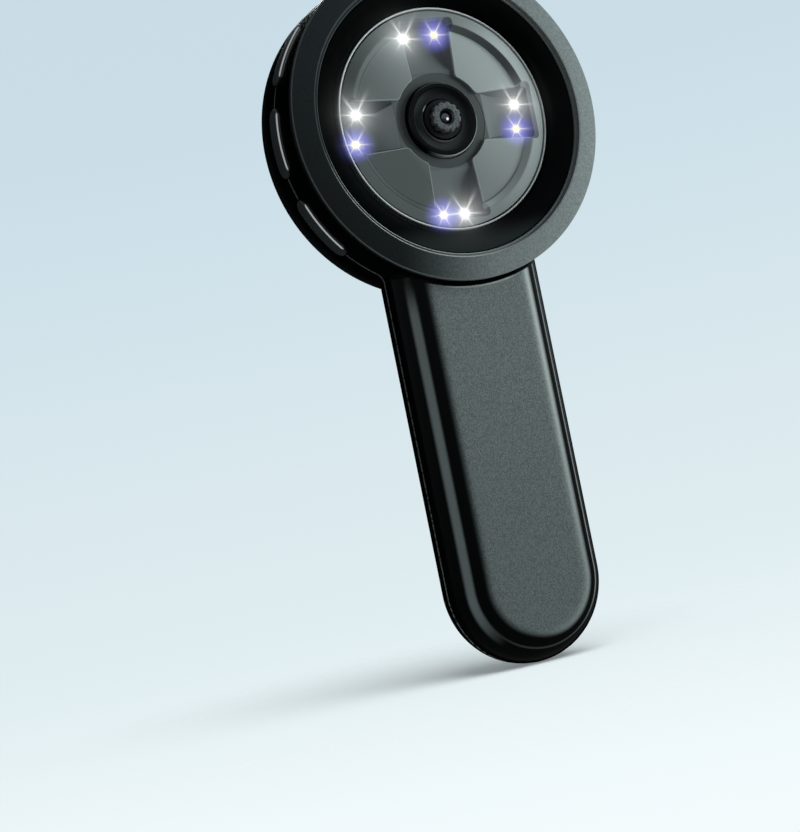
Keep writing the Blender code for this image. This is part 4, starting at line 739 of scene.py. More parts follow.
def painted_edge_highlights(finish):
    """Thin painted highlights along the upper edges of the channels: where the place across a
    channel equals its half width, on the round beside the hub, and at the hub's circle."""
    front = sizes("front")
    foot, rise = channel_round()
    end = radius_of("reflector_plate") - front.channel_wall - front.channel_corner
    growth = (front.channel_end - front.channel_start) / (end - foot)
    half, edge = 0.00009, 0.000198
    step, line = finish.step, finish.line
    wide, tall = abs(finish.x), abs(finish.rise)
    along, across = finish.largest(wide, tall), finish.smallest(wide, tall)
    past_foot = step(along, foot - half, foot)
    side = line(across - front.channel_start - (along - foot) * growth, half, edge) * past_foot
    side = side * (1 - step(along, 0.0185, 0.0225))
    bend = line(finish.distance(along - foot, across - rise) - front.channel_corner, half, edge)
    bend = bend * (1 - past_foot) * (1 - step(across, rise - half, rise))
    hub = line(finish.radius - front.hub_radius, half, edge) * step(across, front.channel_start, rise) * 0.6
    upper = front_of("reflector_plate") - front.sector_drop - 0.00025
    return finish.largest(finish.largest(side, bend), hub) * step(finish.depth, upper - 0.0001, upper)


def channel_shades(finish):
    """The shade on the left channel's walls: a band along the lower one, and a wedge along
    the upper one whose width grows evenly from the hub outwards until it fades."""
    start, start_width, growth = 0.0115, 0.0011, 0.33
    left, step = -finish.x, finish.step
    width = (left - start) * growth + start_width
    wedge = step(finish.rise + width, 0.00570, 0.00605) * (1 - step(left, 0.0145, 0.0185))
    band = step(-finish.rise, 0.0051, 0.0054) * (1 - step(left, 0.0165, 0.0195))
    return finish.largest(wedge, band) * step(left, start - 0.0003, start + 0.0001)


def reflector_finish(name):
    """Satin grey, as a share of its full tone, with light and shade painted into that share.
    As painted light, the share falls evenly from the upper right to the lower left. As painted
    shade, it is smaller on the slope inside the rim at the upper right and on the rim at the
    upper left, and the hub and the channels' floors have their own painted shares. Thin painted
    shade runs along both edges of the slope, painted highlights along the channels, and the
    lamps' painted glow lies over all."""
    highlight_tone, shade_share, least_light = (0.50, 0.54, 0.54), 0.15, 0.22
    front = sizes("front")
    finish = Finish(name, {"Specular IOR Level": 0.10})
    step, blend, line = finish.step, finish.blend, finish.line
    x, rise, depth, radius = finish.x, finish.rise, finish.depth, finish.radius
    plate, hub_radius = radius_of("reflector_plate"), front.hub_radius
    sector = front_of("reflector_plate") - front.sector_drop
    rim = plate - front.land_width
    slope_foot = rim - front.sector_slope

    # Painted light: the share falls evenly from the upper right to the lower left
    light = finish.largest((x * 0.543 + rise * 0.314) / plate + 0.534, least_light)
    upper_right = (x + rise) / plate
    lower_right = step((x - rise) / plate, 0.3, 1.2)
    upper_left = step((rise - x * 0.6) / plate, 0.1, 0.8)
    # Painted shade on the slope at the upper right and on the rim at the upper left, painted light on the
    # slope at the lower right
    slope = light * (0.66 - step(upper_right, 0.2, 1.0) * 0.41) + lower_right * 0.75
    share = blend(step(radius, slope_foot, slope_foot + 0.0002), light, slope)
    share = blend(step(radius, rim, rim + 0.0002), share, light * (1.12 - upper_left * 0.55))
    upper = step(depth, sector - 0.0002, sector - 0.0001)
    # Painted shade along both edges of the slope
    foot_line = line(radius - slope_foot, 0.00012, 0.00026)
    borders = finish.largest(foot_line, line(radius - rim, 0.00008, 0.00022) * 0.7) * upper
    share = share * (1 - borders * (1 - step(upper_right, -0.2, 0.6)) * 0.45)

    # Painted light and shade on the hub and the channels' floors: the floors lighter near the hub on the
    # left, the hub darker
    hub = 1 - step(radius, hub_radius - 0.0001, hub_radius + 0.0001)
    low = (1 - step(depth, sector - 0.0006, sector - 0.0002)) * (1 - hub)
    along = finish.largest(abs(x), abs(rise))
    falling = step(along, hub_radius, hub_radius + 0.0003)
    near_hub = falling * (1 - step(along, hub_radius + 0.0005, hub_radius + 0.0050))
    share = blend(low, share, near_hub * step(-x, 0.006, 0.010) * 0.40 + falling * 0.07 + 0.275)
    share = blend(channel_shades(finish) * (1 - upper), share, shade_share)
    share = blend(hub, share, light * 0.09 + 0.12)
    body = finish.scaled(sizes("colours").reflector, share)
    # Painted highlights along the channels' upper edges
    finish.wear(base_color=finish.mix(painted_edge_highlights(finish) * 0.45, body, highlight_tone))
    finish.wear(roughness=finish.noise(0.004) * 0.06 + 0.40)
    return painted_lamp_glow(finish).bump(finish.noise(0.0004), 0.000006).material


def well_finish(name):
    """Polished black, made a little paler at its foot by a painted reflection, with the lamps'
    painted glow.
    """
    finish = Finish(name, {"Specular IOR Level": 0.02})
    # Painted reflection: a paler tone at the well's foot
    foot = finish.step(-finish.rise, 0.0240, 0.0300)
    body = finish.mix(foot, finish.speckle(sizes("colours").gloss, 0.003, 0.2), (0.020, 0.024, 0.025))
    finish.wear(base_color=body, roughness=finish.noise(0.003) * 0.06 + 0.22)
    return painted_lamp_glow(finish, 0.22).material


def collar_finish(name):
    """Gloss black outside and satin grey in the dish, which painted shade makes darker towards
    the upper right. Painted highlights make the lip round the bore pale at the lower left, with
    a bright glowing painted glint at the upper left, and the outer edge pale at the lower right."""
    black, dish_tone, highlight_tone = (0.002, 0.0024, 0.0024), (0.030, 0.034, 0.034), (0.5, 0.52, 0.52)
    spot_light, spot_x, spot_rise = (0.95, 1.0, 0.98), -0.0040, 0.0030
    lens = sizes("lens")
    finish = Finish(name, {"Specular IOR Level": 0.10})
    step = finish.step
    x, rise, radius = finish.x, finish.rise, finish.radius
    outer, bore = radius_of("lens_collar") - lens.collar_edge * 1.7, lens.collar_bore
    front = front_of("lens_collar")
    dish = (1 - step(radius, outer - 0.0002, outer + 0.0001)) * step(radius, bore + 0.00015, bore + 0.0003)
    lower_left = x * -0.8 - rise * 0.6
    # Painted highlight on the lip round the bore, strongest at the lower left
    lip = finish.line(radius - bore - 0.0001, 0.0001, 0.0002)
    lip = lip * (step(lower_left, -0.001, 0.004) * 0.85 + 0.15)
    lip = lip * step(finish.depth, front - lens.collar_dish, front)
    # Painted highlight on the collar's outer edge, at the lower right
    lit = finish.largest(step(x * 0.6 - rise * 0.8, 0.002, 0.007), step(x + rise * 0.7, -0.003, 0.003) * 0.4)
    edge = step(radius, outer + 0.0010, outer + 0.0012) * lit
    # Painted shade: the dish darker towards the upper right
    dark = finish.scaled(dish_tone, step(lower_left, -0.005, 0.004) * 0.75 + 0.25)
    body = finish.mix(finish.largest(lip, edge * 0.6), finish.mix(dish, black, dark), highlight_tone)
    finish.wear(base_color=body, roughness=dish * 0.16 + finish.noise(0.002) * 0.05 + 0.2)
    # Painted glint: a bright glowing mark on the lip at the upper left
    painted_glint = 1 - step(finish.distance(x - spot_x, rise - spot_rise), 0.0004, 0.0011)
    return finish.shine(finish.scaled(spot_light, painted_glint * lip * 1.6)).material


def button_finish(name):
    """Soft dark grey with a painted highlight: a bright line, which also glows, along the edge
    that faces the front.
    """
    highlight_tone, line_light = (0.85, 0.86, 0.86), (0.97, 1.0, 1.0)
    half_width = sizes("buttons").half_width
    finish = Finish(name, {"Specular IOR Level": 0.25})
    # Painted highlight: a bright line, also glowing, along the edge that faces the front
    line = finish.step(finish.depth, half_width - 0.00022, half_width - 0.00012)
    line = line * finish.step(finish.radius, HEAD_RADIUS + 0.00005, HEAD_RADIUS + 0.00015)
    body = finish.speckle(sizes("colours").button, 0.0003, 0.15)
    finish.wear(base_color=finish.mix(line, body, highlight_tone), roughness=finish.noise(0.0012) * 0.2 + 0.36)
    finish.shine(finish.scaled(line_light, line * 0.22))
    return finish.bump(finish.noise(0.0003, 3.0), 0.000012).material


def glass_finish(name):
    """Coated lens glass: nearly black, with a violet cast that grows towards its edge, and a
    painted reflection of a lamp: a small glint that glows."""
    middle_tone, edge_highlight_tone, spot_light = (0.004, 0.005, 0.008), (0.020, 0.014, 0.040), (0.95, 0.97, 1.0)
    spot_x, spot_rise = 0.0003, -0.0004
    finish = Finish(name, {"Roughness": 0.02, "Coat Weight": 1.0, "Coat Roughness": 0.02})
    finish.wear(base_color=finish.mix(finish.step(finish.radius, 0.0, 0.0013), middle_tone, edge_highlight_tone))
    # Painted reflection of a lamp: a small glowing glint
    painted_glint = 1 - finish.step(finish.distance(finish.x - spot_x, finish.rise - spot_rise), 0.00022, 0.0004)
    return finish.shine(finish.scaled(spot_light, painted_glint)).material


def screen_finish(name):
    """Black cover glass, with the display's dark picture area just visible through it."""
    glass_tone, picture_tone, soft = (0.0035, 0.0036, 0.0040), (0.022, 0.028, 0.034), 0.00008
    low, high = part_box("display_panel")
    middle = (low + high) / 2
    half = (high - low) / 2 - Vector((0.0035, 0, 0.002))
    finish = Finish(name, {"Roughness": 0.05, "Coat Weight": 0.6, "Coat Roughness": 0.03})
    inside = finish.line(finish.x - middle.x, half.x - soft, half.x + soft)
    inside = inside * finish.line(finish.z - middle.z, half.z - soft, half.z + soft)
    finish.wear(base_color=finish.mix(inside, glass_tone, finish.speckle(picture_tone, 0.006, 0.05)))
    return finish.material


def lamp_finish(name, shade):
    """A lamp's pale body, lit from within by its own glow."""
    finish = Finish(name, {"Roughness": 0.4, "Specular IOR Level": 0.2})
    return painted_lamp_glow(finish.wear(base_color=finish.speckle(shade, 0.0003, 0.1))).material


def make_finishes():
    tones = sizes("colours")
    return {
        "case": case_finish("polished_case"),
        "well": well_finish("polished_well"),
        "ring": ring_finish("matt_ring"),
        "silver": turned_metal("bright_silver", tones.silver, 0.30, 0.12),
        "reflector": reflector_finish("satin_reflector"),
        "collar": collar_finish("polished_collar"),
        "lens_head": plain_finish(
            "mottled_lens_head", tones.lens_head, 0.42, 0.55, 0.00045, 0.5, relief=0.00004
        ),
        "thread": plain_finish("blackened_bore", (0.006, 0.006, 0.006), 0.45, size=0.0004, relief=0.00002),
        "lens_glass": glass_finish("coated_lens_glass"),
        "button": button_finish("soft_touch_button"),
        "lamp_body": lamp_finish("lamp_body", (0.12, 0.12, 0.11)),
        "lamp_cup": lamp_finish("lamp_cup", (0.20, 0.19, 0.15)),
        "screen": screen_finish("cover_glass"),
        "steel": plain_finish("pressed_steel", (0.52, 0.53, 0.54), 0.30, 1.0, 0.0008, 0.08),
    }


FINISHES = {}


# Case


def head_turns(angle):
    """Turns from the head's top down to where a neck starts. All but the last few are the
    same for every neck, so that rows on one circle meet point for point."""
    angle = np.reshape(np.asarray(angle, float), (-1, 1))
    even = np.linspace(math.pi / 2, LAST_EVEN_TURN, HEAD_STEPS - NEAR_STEPS + 1)
    share = np.linspace(0, 1, NEAR_STEPS + 1)[None, 1:]
    last = LAST_EVEN_TURN + (angle - LAST_EVEN_TURN) * share
    return np.concatenate([np.broadcast_to(even, (len(angle), len(even))), last], axis=1)


def case_outlines(head_inset, grip_inset, neck):
    """The case's outline at each level. Its right half is an arc of the head, a hollow arc
    at the neck that touches it, a straight side and a quarter circle; the left half is its
    mirror image. Where the neck starts follows from cos a = (half width + neck) / (radius + neck)."""
    case = sizes("housing")
    head_inset, grip_inset, neck = (
        np.reshape(np.asarray(value, float), (-1, 1)) for value in (head_inset, grip_inset, neck)
    )
    radius = HEAD_RADIUS - head_inset
    half_width = case.grip_half_width - grip_inset
    angle = -np.arccos((half_width + neck) / (radius + neck))
    head = polar(radius, head_turns(angle))
    centre = polar(radius + neck, angle)
    share = np.linspace(0, 1, NECK_STEPS + 1)[None, 1:]
    hollow = centre + polar(neck, angle + math.pi - angle * share)
    end_height = GRIP_LOW - HEAD_HEIGHT + case.grip_half_width
    share = np.linspace(0, 1, SIDE_STEPS + 1)[None, 1:]
    heights = centre[..., 1] + (end_height - centre[..., 1]) * share
    side = np.stack([np.broadcast_to(half_width, heights.shape), heights], axis=-1)
    share = np.linspace(0, 1, END_STEPS + 1)[None, 1:]
    end = polar(half_width, -math.pi / 2 * share) + (0, end_height)
    return mirrored(np.concatenate([head, hollow, side, end], axis=1))


def mirrored(half):
    """A right half, then its mirror image (-x, z) backwards without the two end points."""
    return np.concatenate([half, half[:, -2:0:-1] * (-1, 1)], axis=1)


def foot_shares(ramp):
    """0 round the free part of the head, and 1 under the neck after a smooth ramp."""
    rest = NECK_STEPS + SIDE_STEPS + END_STEPS
    rise = np.clip(np.arange(1, rest + 1) / (rest * ramp), 0, 1)
    right = np.concatenate([np.zeros(HEAD_STEPS + 1), rise * rise * (3 - 2 * rise)])
    return np.concatenate([right, right[-2:0:-1]])


def discs(radius, angle):
    """Circles whose points are shared out as in an outline whose neck starts at an angle."""
    rest = NECK_STEPS + SIDE_STEPS + END_STEPS
    turns = np.concatenate([head_turns(angle)[0], np.linspace(angle, -math.pi / 2, rest + 1)[1:]])
    turns = np.concatenate([turns, math.pi - turns[-2:0:-1]])
    radius = np.asarray(radius, float)
    return polar(radius if radius.ndim == 2 else radius.reshape(-1, 1), turns[None])


def edge_arc(count=4):
    """Sines and cosines over a quarter turn."""
    turn = np.linspace(0, math.pi / 2, count)
    return np.sin(turn), np.cos(turn)


def fillet_levels(depth, fillet, start):
    """Levels and insets of a quarter-round edge: depth - f + f sin t, and f (1 - cos t),
    with the seam's own small rounding first. The neck's radius shrinks with the sine."""
    case = sizes("housing")
    sine, cosine = edge_arc()
    seam_levels, seam_insets = start + case.edge * sine, case.edge * (1 - sine)
    fillet = min(fillet, depth - start - case.edge)
    turn = np.linspace(0, math.pi / 2, FILLET_STEPS + 1)
    levels = depth - fillet + fillet * np.sin(turn)
    insets = fillet * (1 - np.cos(turn))
    necks = case.neck + (case.neck_top - case.neck) * np.sin(turn)
    levels = np.concatenate([seam_levels, levels])
    insets = np.concatenate([seam_insets, insets])
    necks = np.concatenate([case.neck + seam_insets, necks])
    return levels, insets, necks


def neck_angle(head_inset, grip_inset, neck):
    """Where a neck starts on the head: cos a = (half width + neck) / (radius + neck)."""
    case = sizes("housing")
    return -math.acos((case.grip_half_width - grip_inset + neck) / (HEAD_RADIUS - head_inset + neck))


def front_case_points():
    """Rows from the parting line out over the grip's edge to its flat face, through the
    groove at the head's foot, up the head's wall, back along the inside and round a tongue
    that shuts the gap between the halves."""
    case = sizes("housing")
    start = case.seam / 2
    shell_front = RING_SEAT - CLEARANCE
    levels, insets, necks = fillet_levels(case.grip_front, case.front_fillet, start)
    head_insets = np.where(levels < start + case.edge, insets, 0)
    rows = [lay(case_outlines(head_insets, insets, necks), levels[:, None])]
    flat_inset = insets[-1] + case.edge * 2
    rows.append(lay(case_outlines(0, flat_inset, necks[-1]), case.grip_front))
    angle = neck_angle(0, flat_inset, necks[-1])
    foot = foot_shares(0.2)
    sine, cosine = edge_arc()
    offsets = np.concatenate([[case.groove * 2], case.groove * (1 + 0.4 * cosine), case.groove * (1 - sine)])
    drops = np.concatenate([[0.0], case.groove * 0.4 * (1 - cosine), case.groove * (1 - 0.6 * cosine)])
    radii = HEAD_RADIUS + offsets[:, None] * foot
    rows.append(lay(discs(radii, angle), case.grip_front - drops[:, None] * foot))
    rim_levels = shell_front - case.edge + case.edge * sine
    rows.append(lay(discs(HEAD_RADIUS - case.edge * (1 - cosine), angle), rim_levels[:, None]))
    wall_radius = HEAD_RADIUS - case.wall
    inner_neck = case.neck + case.wall
    inner_angle = neck_angle(case.wall, case.front_fillet, inner_neck)
    inner_front = case.grip_front - case.wall
    rows.append(lay(discs([wall_radius, wall_radius], inner_angle), np.array([[shell_front], [inner_front]])))
    turn = np.linspace(math.pi / 2, 0, 6)
    inner_fillet = case.front_fillet - case.wall
    insets = case.wall + inner_fillet * (1 - np.cos(turn))
    levels = np.maximum(inner_front - inner_fillet + inner_fillet * np.sin(turn), start)
    rows.append(lay(case_outlines(case.wall, insets, inner_neck), levels[:, None]))
    rows.append(lay(case_outlines(case.wall, case.wall, inner_neck), start))
    outer_inset, inner_inset = case.wall * 0.4, case.wall * 0.8
    tongue = ((inner_inset, start), (inner_inset, -start), (outer_inset, -start), (outer_inset, start))
    for inset, level in tongue:
        rows.append(lay(case_outlines(inset, inset, case.neck + inset), level + SEAL_GAP * (level < 0)))
    return np.concatenate(rows)


def rear_case_points():
    """Rows from the centre of the glass recess out over its edge, round the rear of the
    head and grip to the parting line, and back along the inside."""
    case = sizes("housing")
    depth = -REAR_FACE
    start = case.seam / 2
    levels, insets, necks = fillet_levels(depth, case.rear_fillet, start)
    past = np.maximum(levels - (depth - case.head_fillet), 0)
    head_insets = case.head_fillet - np.sqrt(np.maximum(case.head_fillet**2 - past**2, 0))
    head_insets = np.where(levels < start + case.edge, insets, head_insets)
    angle = neck_angle(case.head_fillet, insets[-1], necks[-1])
    glass_radius = radius_of("display_glass") + CLEARANCE
    sine, cosine = edge_arc()
    radii = [0, glass_radius, *(glass_radius + case.edge * (1 - cosine))]
    floor = -front_of("display_glass") - CLEARANCE
    levels_in = [floor, floor, *(depth - case.edge + case.edge * sine)]
    rows = [lay(discs(radii, angle), -np.array(levels_in)[:, None])]
    outer = case_outlines(head_insets, insets, necks)
    flat = case_outlines(head_insets[-1] + case.edge, insets[-1] + case.edge * 2, necks[-1])
    rows.append(lay(flat, -depth))
    rows.append(lay(outer, -levels[:, None])[::-1])
    wall_level = floor - case.wall
    turn = np.linspace(0, math.pi / 2, 6)
    inner_fillet = min(case.rear_fillet - case.wall, wall_level - start * 2)
    inner_levels = wall_level - inner_fillet + inner_fillet * np.sin(turn)
    inner_insets = case.wall + inner_fillet * (1 - np.cos(turn))
    inner_neck = case.neck + case.wall
    rows.append(lay(case_outlines(case.wall, case.wall, inner_neck), -start))
    rows.append(lay(case_outlines(case.wall, inner_insets, inner_neck), -inner_levels[:, None]))
    inner_angle = neck_angle(case.wall, inner_insets[-1], inner_neck)
    rows.append(lay(discs([HEAD_RADIUS - case.wall * 1.4, 0], inner_angle), -wall_level))
    return np.concatenate(rows)


def pill_rows(stages, height_angle, columns=18):
    """Pill outlines wrapped on cylinders round the head's axis. Each stage is (half length,
    half width, radius), and its outline two half circles joined by straight runs. A point
    at s along the rim lies at the angle s / head radius."""
    stages = np.array(stages, float)
    half_length, half_width, radius = (stages[:, index, None] for index in range(3))
    turn = np.linspace(0, math.pi / 2, columns // 2 + 1)[None]
    straight = half_length - half_width
    run = np.linspace(-1, 1, columns * 2)[None, 1:-1]
    along = np.concatenate(
        [-straight - half_width * np.cos(turn), straight * run, straight + half_width * np.sin(turn)], axis=1
    )
    across = [half_width * np.sin(turn), half_width + 0 * run, half_width * np.cos(turn)]
    across = np.concatenate(across, axis=1)
    along = np.concatenate([along, along[:, -2:0:-1]], axis=1)
    across = np.concatenate([across, -across[:, -2:0:-1]], axis=1)
    angle = along / HEAD_RADIUS + height_angle
    x, z = radius * np.cos(angle), radius * np.sin(angle)
    return np.stack([x, across, z + HEAD_HEIGHT], axis=-1)


def button_angles():
    """The middle button lies straight to the left, the others a pitch along the rim from it."""
    step = sizes("buttons").pitch / HEAD_RADIUS
    return {"upper": math.pi - step, "middle": math.pi, "lower": math.pi + step}


def button_hole(angle):
    """A pill-shaped tool, closed at both ends by shrinking to its middle line."""
    size = sizes("buttons")
    long, wide = size.half_length + size.gap, size.half_width + size.gap
    inner, outer = HEAD_RADIUS - 0.005, HEAD_RADIUS + TOOL_REACH
    middle = (long - wide, 0.0)
    stages = [(*middle, inner), (long, wide, inner), (long, wide, outer), (*middle, outer)]
    return surface("button_hole", pill_rows(stages, angle), [], along=False)


def socket_rows(stages, steps=8):
    """Pill outlines across the charging socket's axis, from (half width, half height, x):
    quarter circles of the half height, as far apart as the half width leaves them."""
    middle = (SOCKET_BOX[0] + SOCKET_BOX[1]) / 2
    stages = np.array(stages, float)
    half_width, half_height, x = (stages[:, index, None] for index in range(3))
    turn = np.linspace(0, math.pi / 2, steps + 1)
    turns = np.concatenate([turn, turn + math.pi / 2, turn + math.pi, turn + math.pi * 1.5])[None]
    side = np.sign(np.repeat([1, -1, -1, 1], steps + 1))[None]
    z = side * (half_width - half_height) + half_height * np.cos(turns)
    y = half_height * np.sin(turns)
    return np.stack([np.broadcast_to(x, z.shape), y + middle.y, z + middle.z], axis=-1)


def socket_sizes():
    """Half width, half height, and where the socket starts and ends along x."""
    low, high = SOCKET_BOX
    return (high.z - low.z) / 2, (high.y - low.y) / 2, low.x, high.x


def socket_hole():
    """A pill-shaped tool through the head's side, closed in the same way as a button's."""
    half_width, half_height, _, mouth = socket_sizes()
    size = (half_width + CLEARANCE, half_height + CLEARANCE)
    line = (half_width - half_height, 0.0)
    inner, outer = HEAD_RADIUS - 0.006, HEAD_RADIUS + TOOL_REACH
    stages = [(*line, inner), (*size, inner), (*size, outer), (*line, outer)]
    return surface("socket_hole", socket_rows(stages), [], along=False)


class MICROSCOPE_OT_case(bpy.types.Operator):
    """Makes the two halves of the case, with their openings."""

    bl_idname = "microscope.case"
    bl_label = "Case"

    def execute(self, context):
        for name, points, node in (
            ("front_case", front_case_points(), "front_shell"),
            ("rear_case", rear_case_points(), "rear_shell"),
        ):
            piece = surface(name, points, [FINISHES["case"]], along=node == "front_shell")
            tools = [button_hole(angle) for angle in button_angles().values()]
            carve(piece, [*tools, socket_hole()])
            wear(piece, "housing", "shell_plastic", node)
        return {"FINISHED"}


class MICROSCOPE_OT_contact_ring(bpy.types.Operator):
    """Makes the matt cone that rests on the specimen."""

    bl_idname = "microscope.contact_ring"
    bl_label = "Contact Ring"

    def execute(self, context):
        size = sizes("front")
        top = front_of("contact_ring")
        rim = top - size.ring_rise
        inner = HEAD_RADIUS - size.ring_width
        bore = inner - size.step_width
        spigot = HEAD_RADIUS - sizes("housing").wall - CLEARANCE
        spigot_bore = spigot - 0.0009
        back = back_of("contact_ring")
        corners = [
            (HEAD_RADIUS, RING_SEAT), (HEAD_RADIUS, rim), (inner + size.ring_land, top), (inner, top),
            (inner, top - size.step_drop), (bore, top - size.step_drop), (bore, top - size.lip_height),
            (spigot_bore, RING_SEAT + CLEARANCE), (spigot_bore, back), (spigot, back), (spigot, RING_SEAT),
        ]
        reach = [0.0001, 0.00028, 0.00012, 0.00012, 0.00005, 0.00018, 0.0001, 0, 0, 0, 0]
        piece = turned("contact_cone", rounded(corners, reach), [FINISHES["ring"]])
        wear(piece, "housing", "matt_plastic", "contact_ring")
        return {"FINISHED"}


class MICROSCOPE_OT_light_well(bpy.types.Operator):
    """Makes the dished black well and the bright ring at its foot. At a share s of the dish
    and s of a quarter turn t, the depth is floor + depth cos t, and the radius has gone
    s + fullness (sin t - s) of the way inwards."""

    bl_idname = "microscope.light_well"
    bl_label = "Light Well"

    def execute(self, context):
        outer = radius_of("light_funnel")
        front, back = front_of("light_funnel"), back_of("light_funnel")
        trim_front, trim_back = front_of("trim_ring"), back_of("trim_ring")
        trim_radius = radius_of("trim_ring")
        bore = trim_radius + CLEARANCE
        dish_depth, flat_rim, fullness = 0.0028, 0.0005, 0.55
        floor = front - dish_depth
        turn = np.linspace(0, 1, 25)
        share = turn + (np.sin(turn * math.pi / 2) - turn) * fullness
        start = outer - flat_rim
        depths = floor + dish_depth * np.cos(turn * math.pi / 2)
        dish = np.stack([start + (bore - start) * share, depths], axis=-1)
        shelf = trim_back - CLEARANCE
        plate_bore = radius_of("reflector_plate") - PLATE_STEP + CLEARANCE
        neck = bore + 0.0017
        shoulder = floor - 0.0005
        profile = np.array([
            (outer, front), *dish, (bore, shelf), (plate_bore, shelf), (plate_bore, back), (neck, back),
            (neck, shoulder), (outer, shoulder),
        ])
        wear(turned("light_well", profile, [FINISHES["well"]]), "housing", "gloss_black", "light_funnel")
        inner = trim_radius - sizes("front").trim_width
        corners = [
            (inner, trim_back), (trim_radius, trim_back), (trim_radius, trim_front), (inner, trim_front),
        ]
        profile = rounded(corners, [0.00004, 0.00004, 0.0002, 0.0001])
        wear(turned("trim_band", profile, [FINISHES["silver"]]), "housing", "bright_metal", "trim_ring")
        return {"FINISHED"}


class MICROSCOPE_OT_reflector(bpy.types.Operator):
    """Makes the reflector with its four light channels."""

    bl_idname = "microscope.reflector"
    bl_label = "Reflector"

    def execute(self, context):
        size = sizes("front")
        outer = radius_of("reflector_plate")
        front, back = front_of("reflector_plate"), back_of("reflector_plate")
        body = outer - PLATE_STEP
        rim_back = front - 0.0015
        sector_outer = outer - size.land_width
        sector = front - size.sector_drop
        hub = sector - size.hub_drop
        bore = radius_of("lens_collar") + CLEARANCE
        corners = [
            (bore, back), (body, back), (body, rim_back), (outer, rim_back), (outer, front),
            (sector_outer, front), (sector_outer - size.sector_slope, sector), (size.hub_radius, sector),
            (size.hub_radius, hub), (bore, hub),
        ]
        reach = [0, 0, 0, 0, 0.0001, 0.0003, 0.0004, 0.0001, 0.0001, 0.0001]
        piece = turned("reflector", rounded(corners, reach), [FINISHES["reflector"]])
        quarters = np.arange(4) * math.pi / 2
        tools = [self.channel(angle, hub, outer, front) for angle in quarters]
        tools += [lamp_window(node) for node in lamp_nodes()]
        carve(piece, tools, flats=True)
        wear(piece, "housing", "reflector_grey", "reflector_plate")
        return {"FINISHED"}

    def channel(self, angle, hub, outer, front):
        """A tool between two plans, one at the sectors' depth and one at the lowest depth.
        Its floor falls from the hub by the channel's fall times 1 - (1 - t)^3, with t the
        share of the way from the hub to the outer end."""
        size = sizes("front")
        sector = front - size.sector_drop
        lowest = hub - size.channel_fall
        draft = (sector - lowest) * size.channel_draft
        wide = self.channel_plan(outer - size.channel_wall, 0.0, size.channel_corner)
        narrow = self.channel_plan(outer - size.channel_wall - draft * 0.3, draft, size.channel_corner * 0.6)
        share = np.clip((wide[:, 0] - size.hub_radius) / (wide[:, 0].max() - size.hub_radius), 0, 1)
        floor = hub + 0.0001 - size.channel_fall * (1 - (1 - share) ** 3)
        top = front + 0.002
        rows = []
        for level in (0.0, 0.35, 0.7, 1.0):
            depth = floor + (sector - floor) * level
            low = (sector - depth) / (sector - lowest)
            rows.append((wide + (narrow - wide) * low[:, None], depth))
        above = (top - sector) / (sector - lowest)
        rows.append((wide + (wide - narrow) * above, np.full(len(wide), top)))
        rows.append((rows[-1][0] * (1, 0), rows[-1][1]))
        rows.insert(0, (rows[0][0] * (1, 0), floor))
        points = []
        for flat, depth in rows:
            radius, swing = np.hypot(flat[:, 0], flat[:, 1]), np.arctan2(flat[:, 1], flat[:, 0])
            points.append(lay(polar(radius, swing + angle), depth))
        return surface("channel", np.stack(points), [], along=False)

    def channel_plan(self, end, inset, corner):
        """Half widths that grow evenly outwards, a round that joins each side to the hub's
        circle, round outer corners, mirrored."""
        size = sizes("front")
        base, half_width = size.channel_start - inset, size.channel_end - inset
        centre = np.array(channel_round(inset))
        start = math.atan2(-centre[1], -centre[0])
        neck = centre + polar(size.channel_corner, np.linspace(start, -math.pi / 2, 9))
        share = np.linspace(0.03, 0.97, 24)[:, None]
        run = centre[0] + (end - corner - centre[0]) * share
        side = np.concatenate([run, base + (half_width - base) * share], axis=1)
        tip = polar(corner, np.linspace(math.pi / 2, 0, 9)) + (end - corner, half_width - corner)
        half = np.concatenate([neck[:1] * 0.8, neck, side, tip])
        return np.concatenate([half, [(end, 0.0)], half[::-1] * (1, -1)])


def lamp_nodes():
    """The CAD names of the eight lamps."""
    return [f"{kind}_led_{side}" for kind in ("white", "uv") for side in ("top", "right", "bottom", "left")]


def box_rows(node, stages, corner):
    """Rounded rectangles round a CAD node's middle. Each stage is (margin, depth), and a
    quarter circle rounds each corner."""
    low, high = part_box(node)
    middle = (low + high) / 2
    half = (high - low) / 2
    stages = np.array(stages, float)
    margin, depth = stages[:, :1], stages[:, 1:]
    rounding = np.maximum(corner + margin, 0)
    turn = np.linspace(0, math.pi / 2, 5)
    turns = np.concatenate([turn + quarter * math.pi / 2 for quarter in range(4)])[None]
    side_x = np.repeat([1, -1, -1, 1], 5)[None]
    side_z = np.repeat([1, 1, -1, -1], 5)[None]
    x = side_x * (half.x + margin - rounding) + rounding * np.cos(turns) + middle.x
    z = side_z * (half.z + margin - rounding) + rounding * np.sin(turns) + middle.z
    return lay(np.stack([x, z], axis=-1), depth, height=0)


LAMP_CORNER = 0.0002


def lamp_half(node):
    """Half of a lamp's shorter side."""
    low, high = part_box(node)
    return min(high.x - low.x, high.z - low.z) / 2


def lamp_window(node):
    """A box-shaped tool a little larger than a lamp, closed by shrinking to its middle."""
    margin, half = CLEARANCE / 3, lamp_half(node)
    low, high = back_of(node) - 0.003, front_of(node) + 0.004
    stages = [(-half, low), (margin, low), (margin, high), (-half, high)]
    return surface("lamp_window", box_rows(node, stages, LAMP_CORNER), [], along=False)


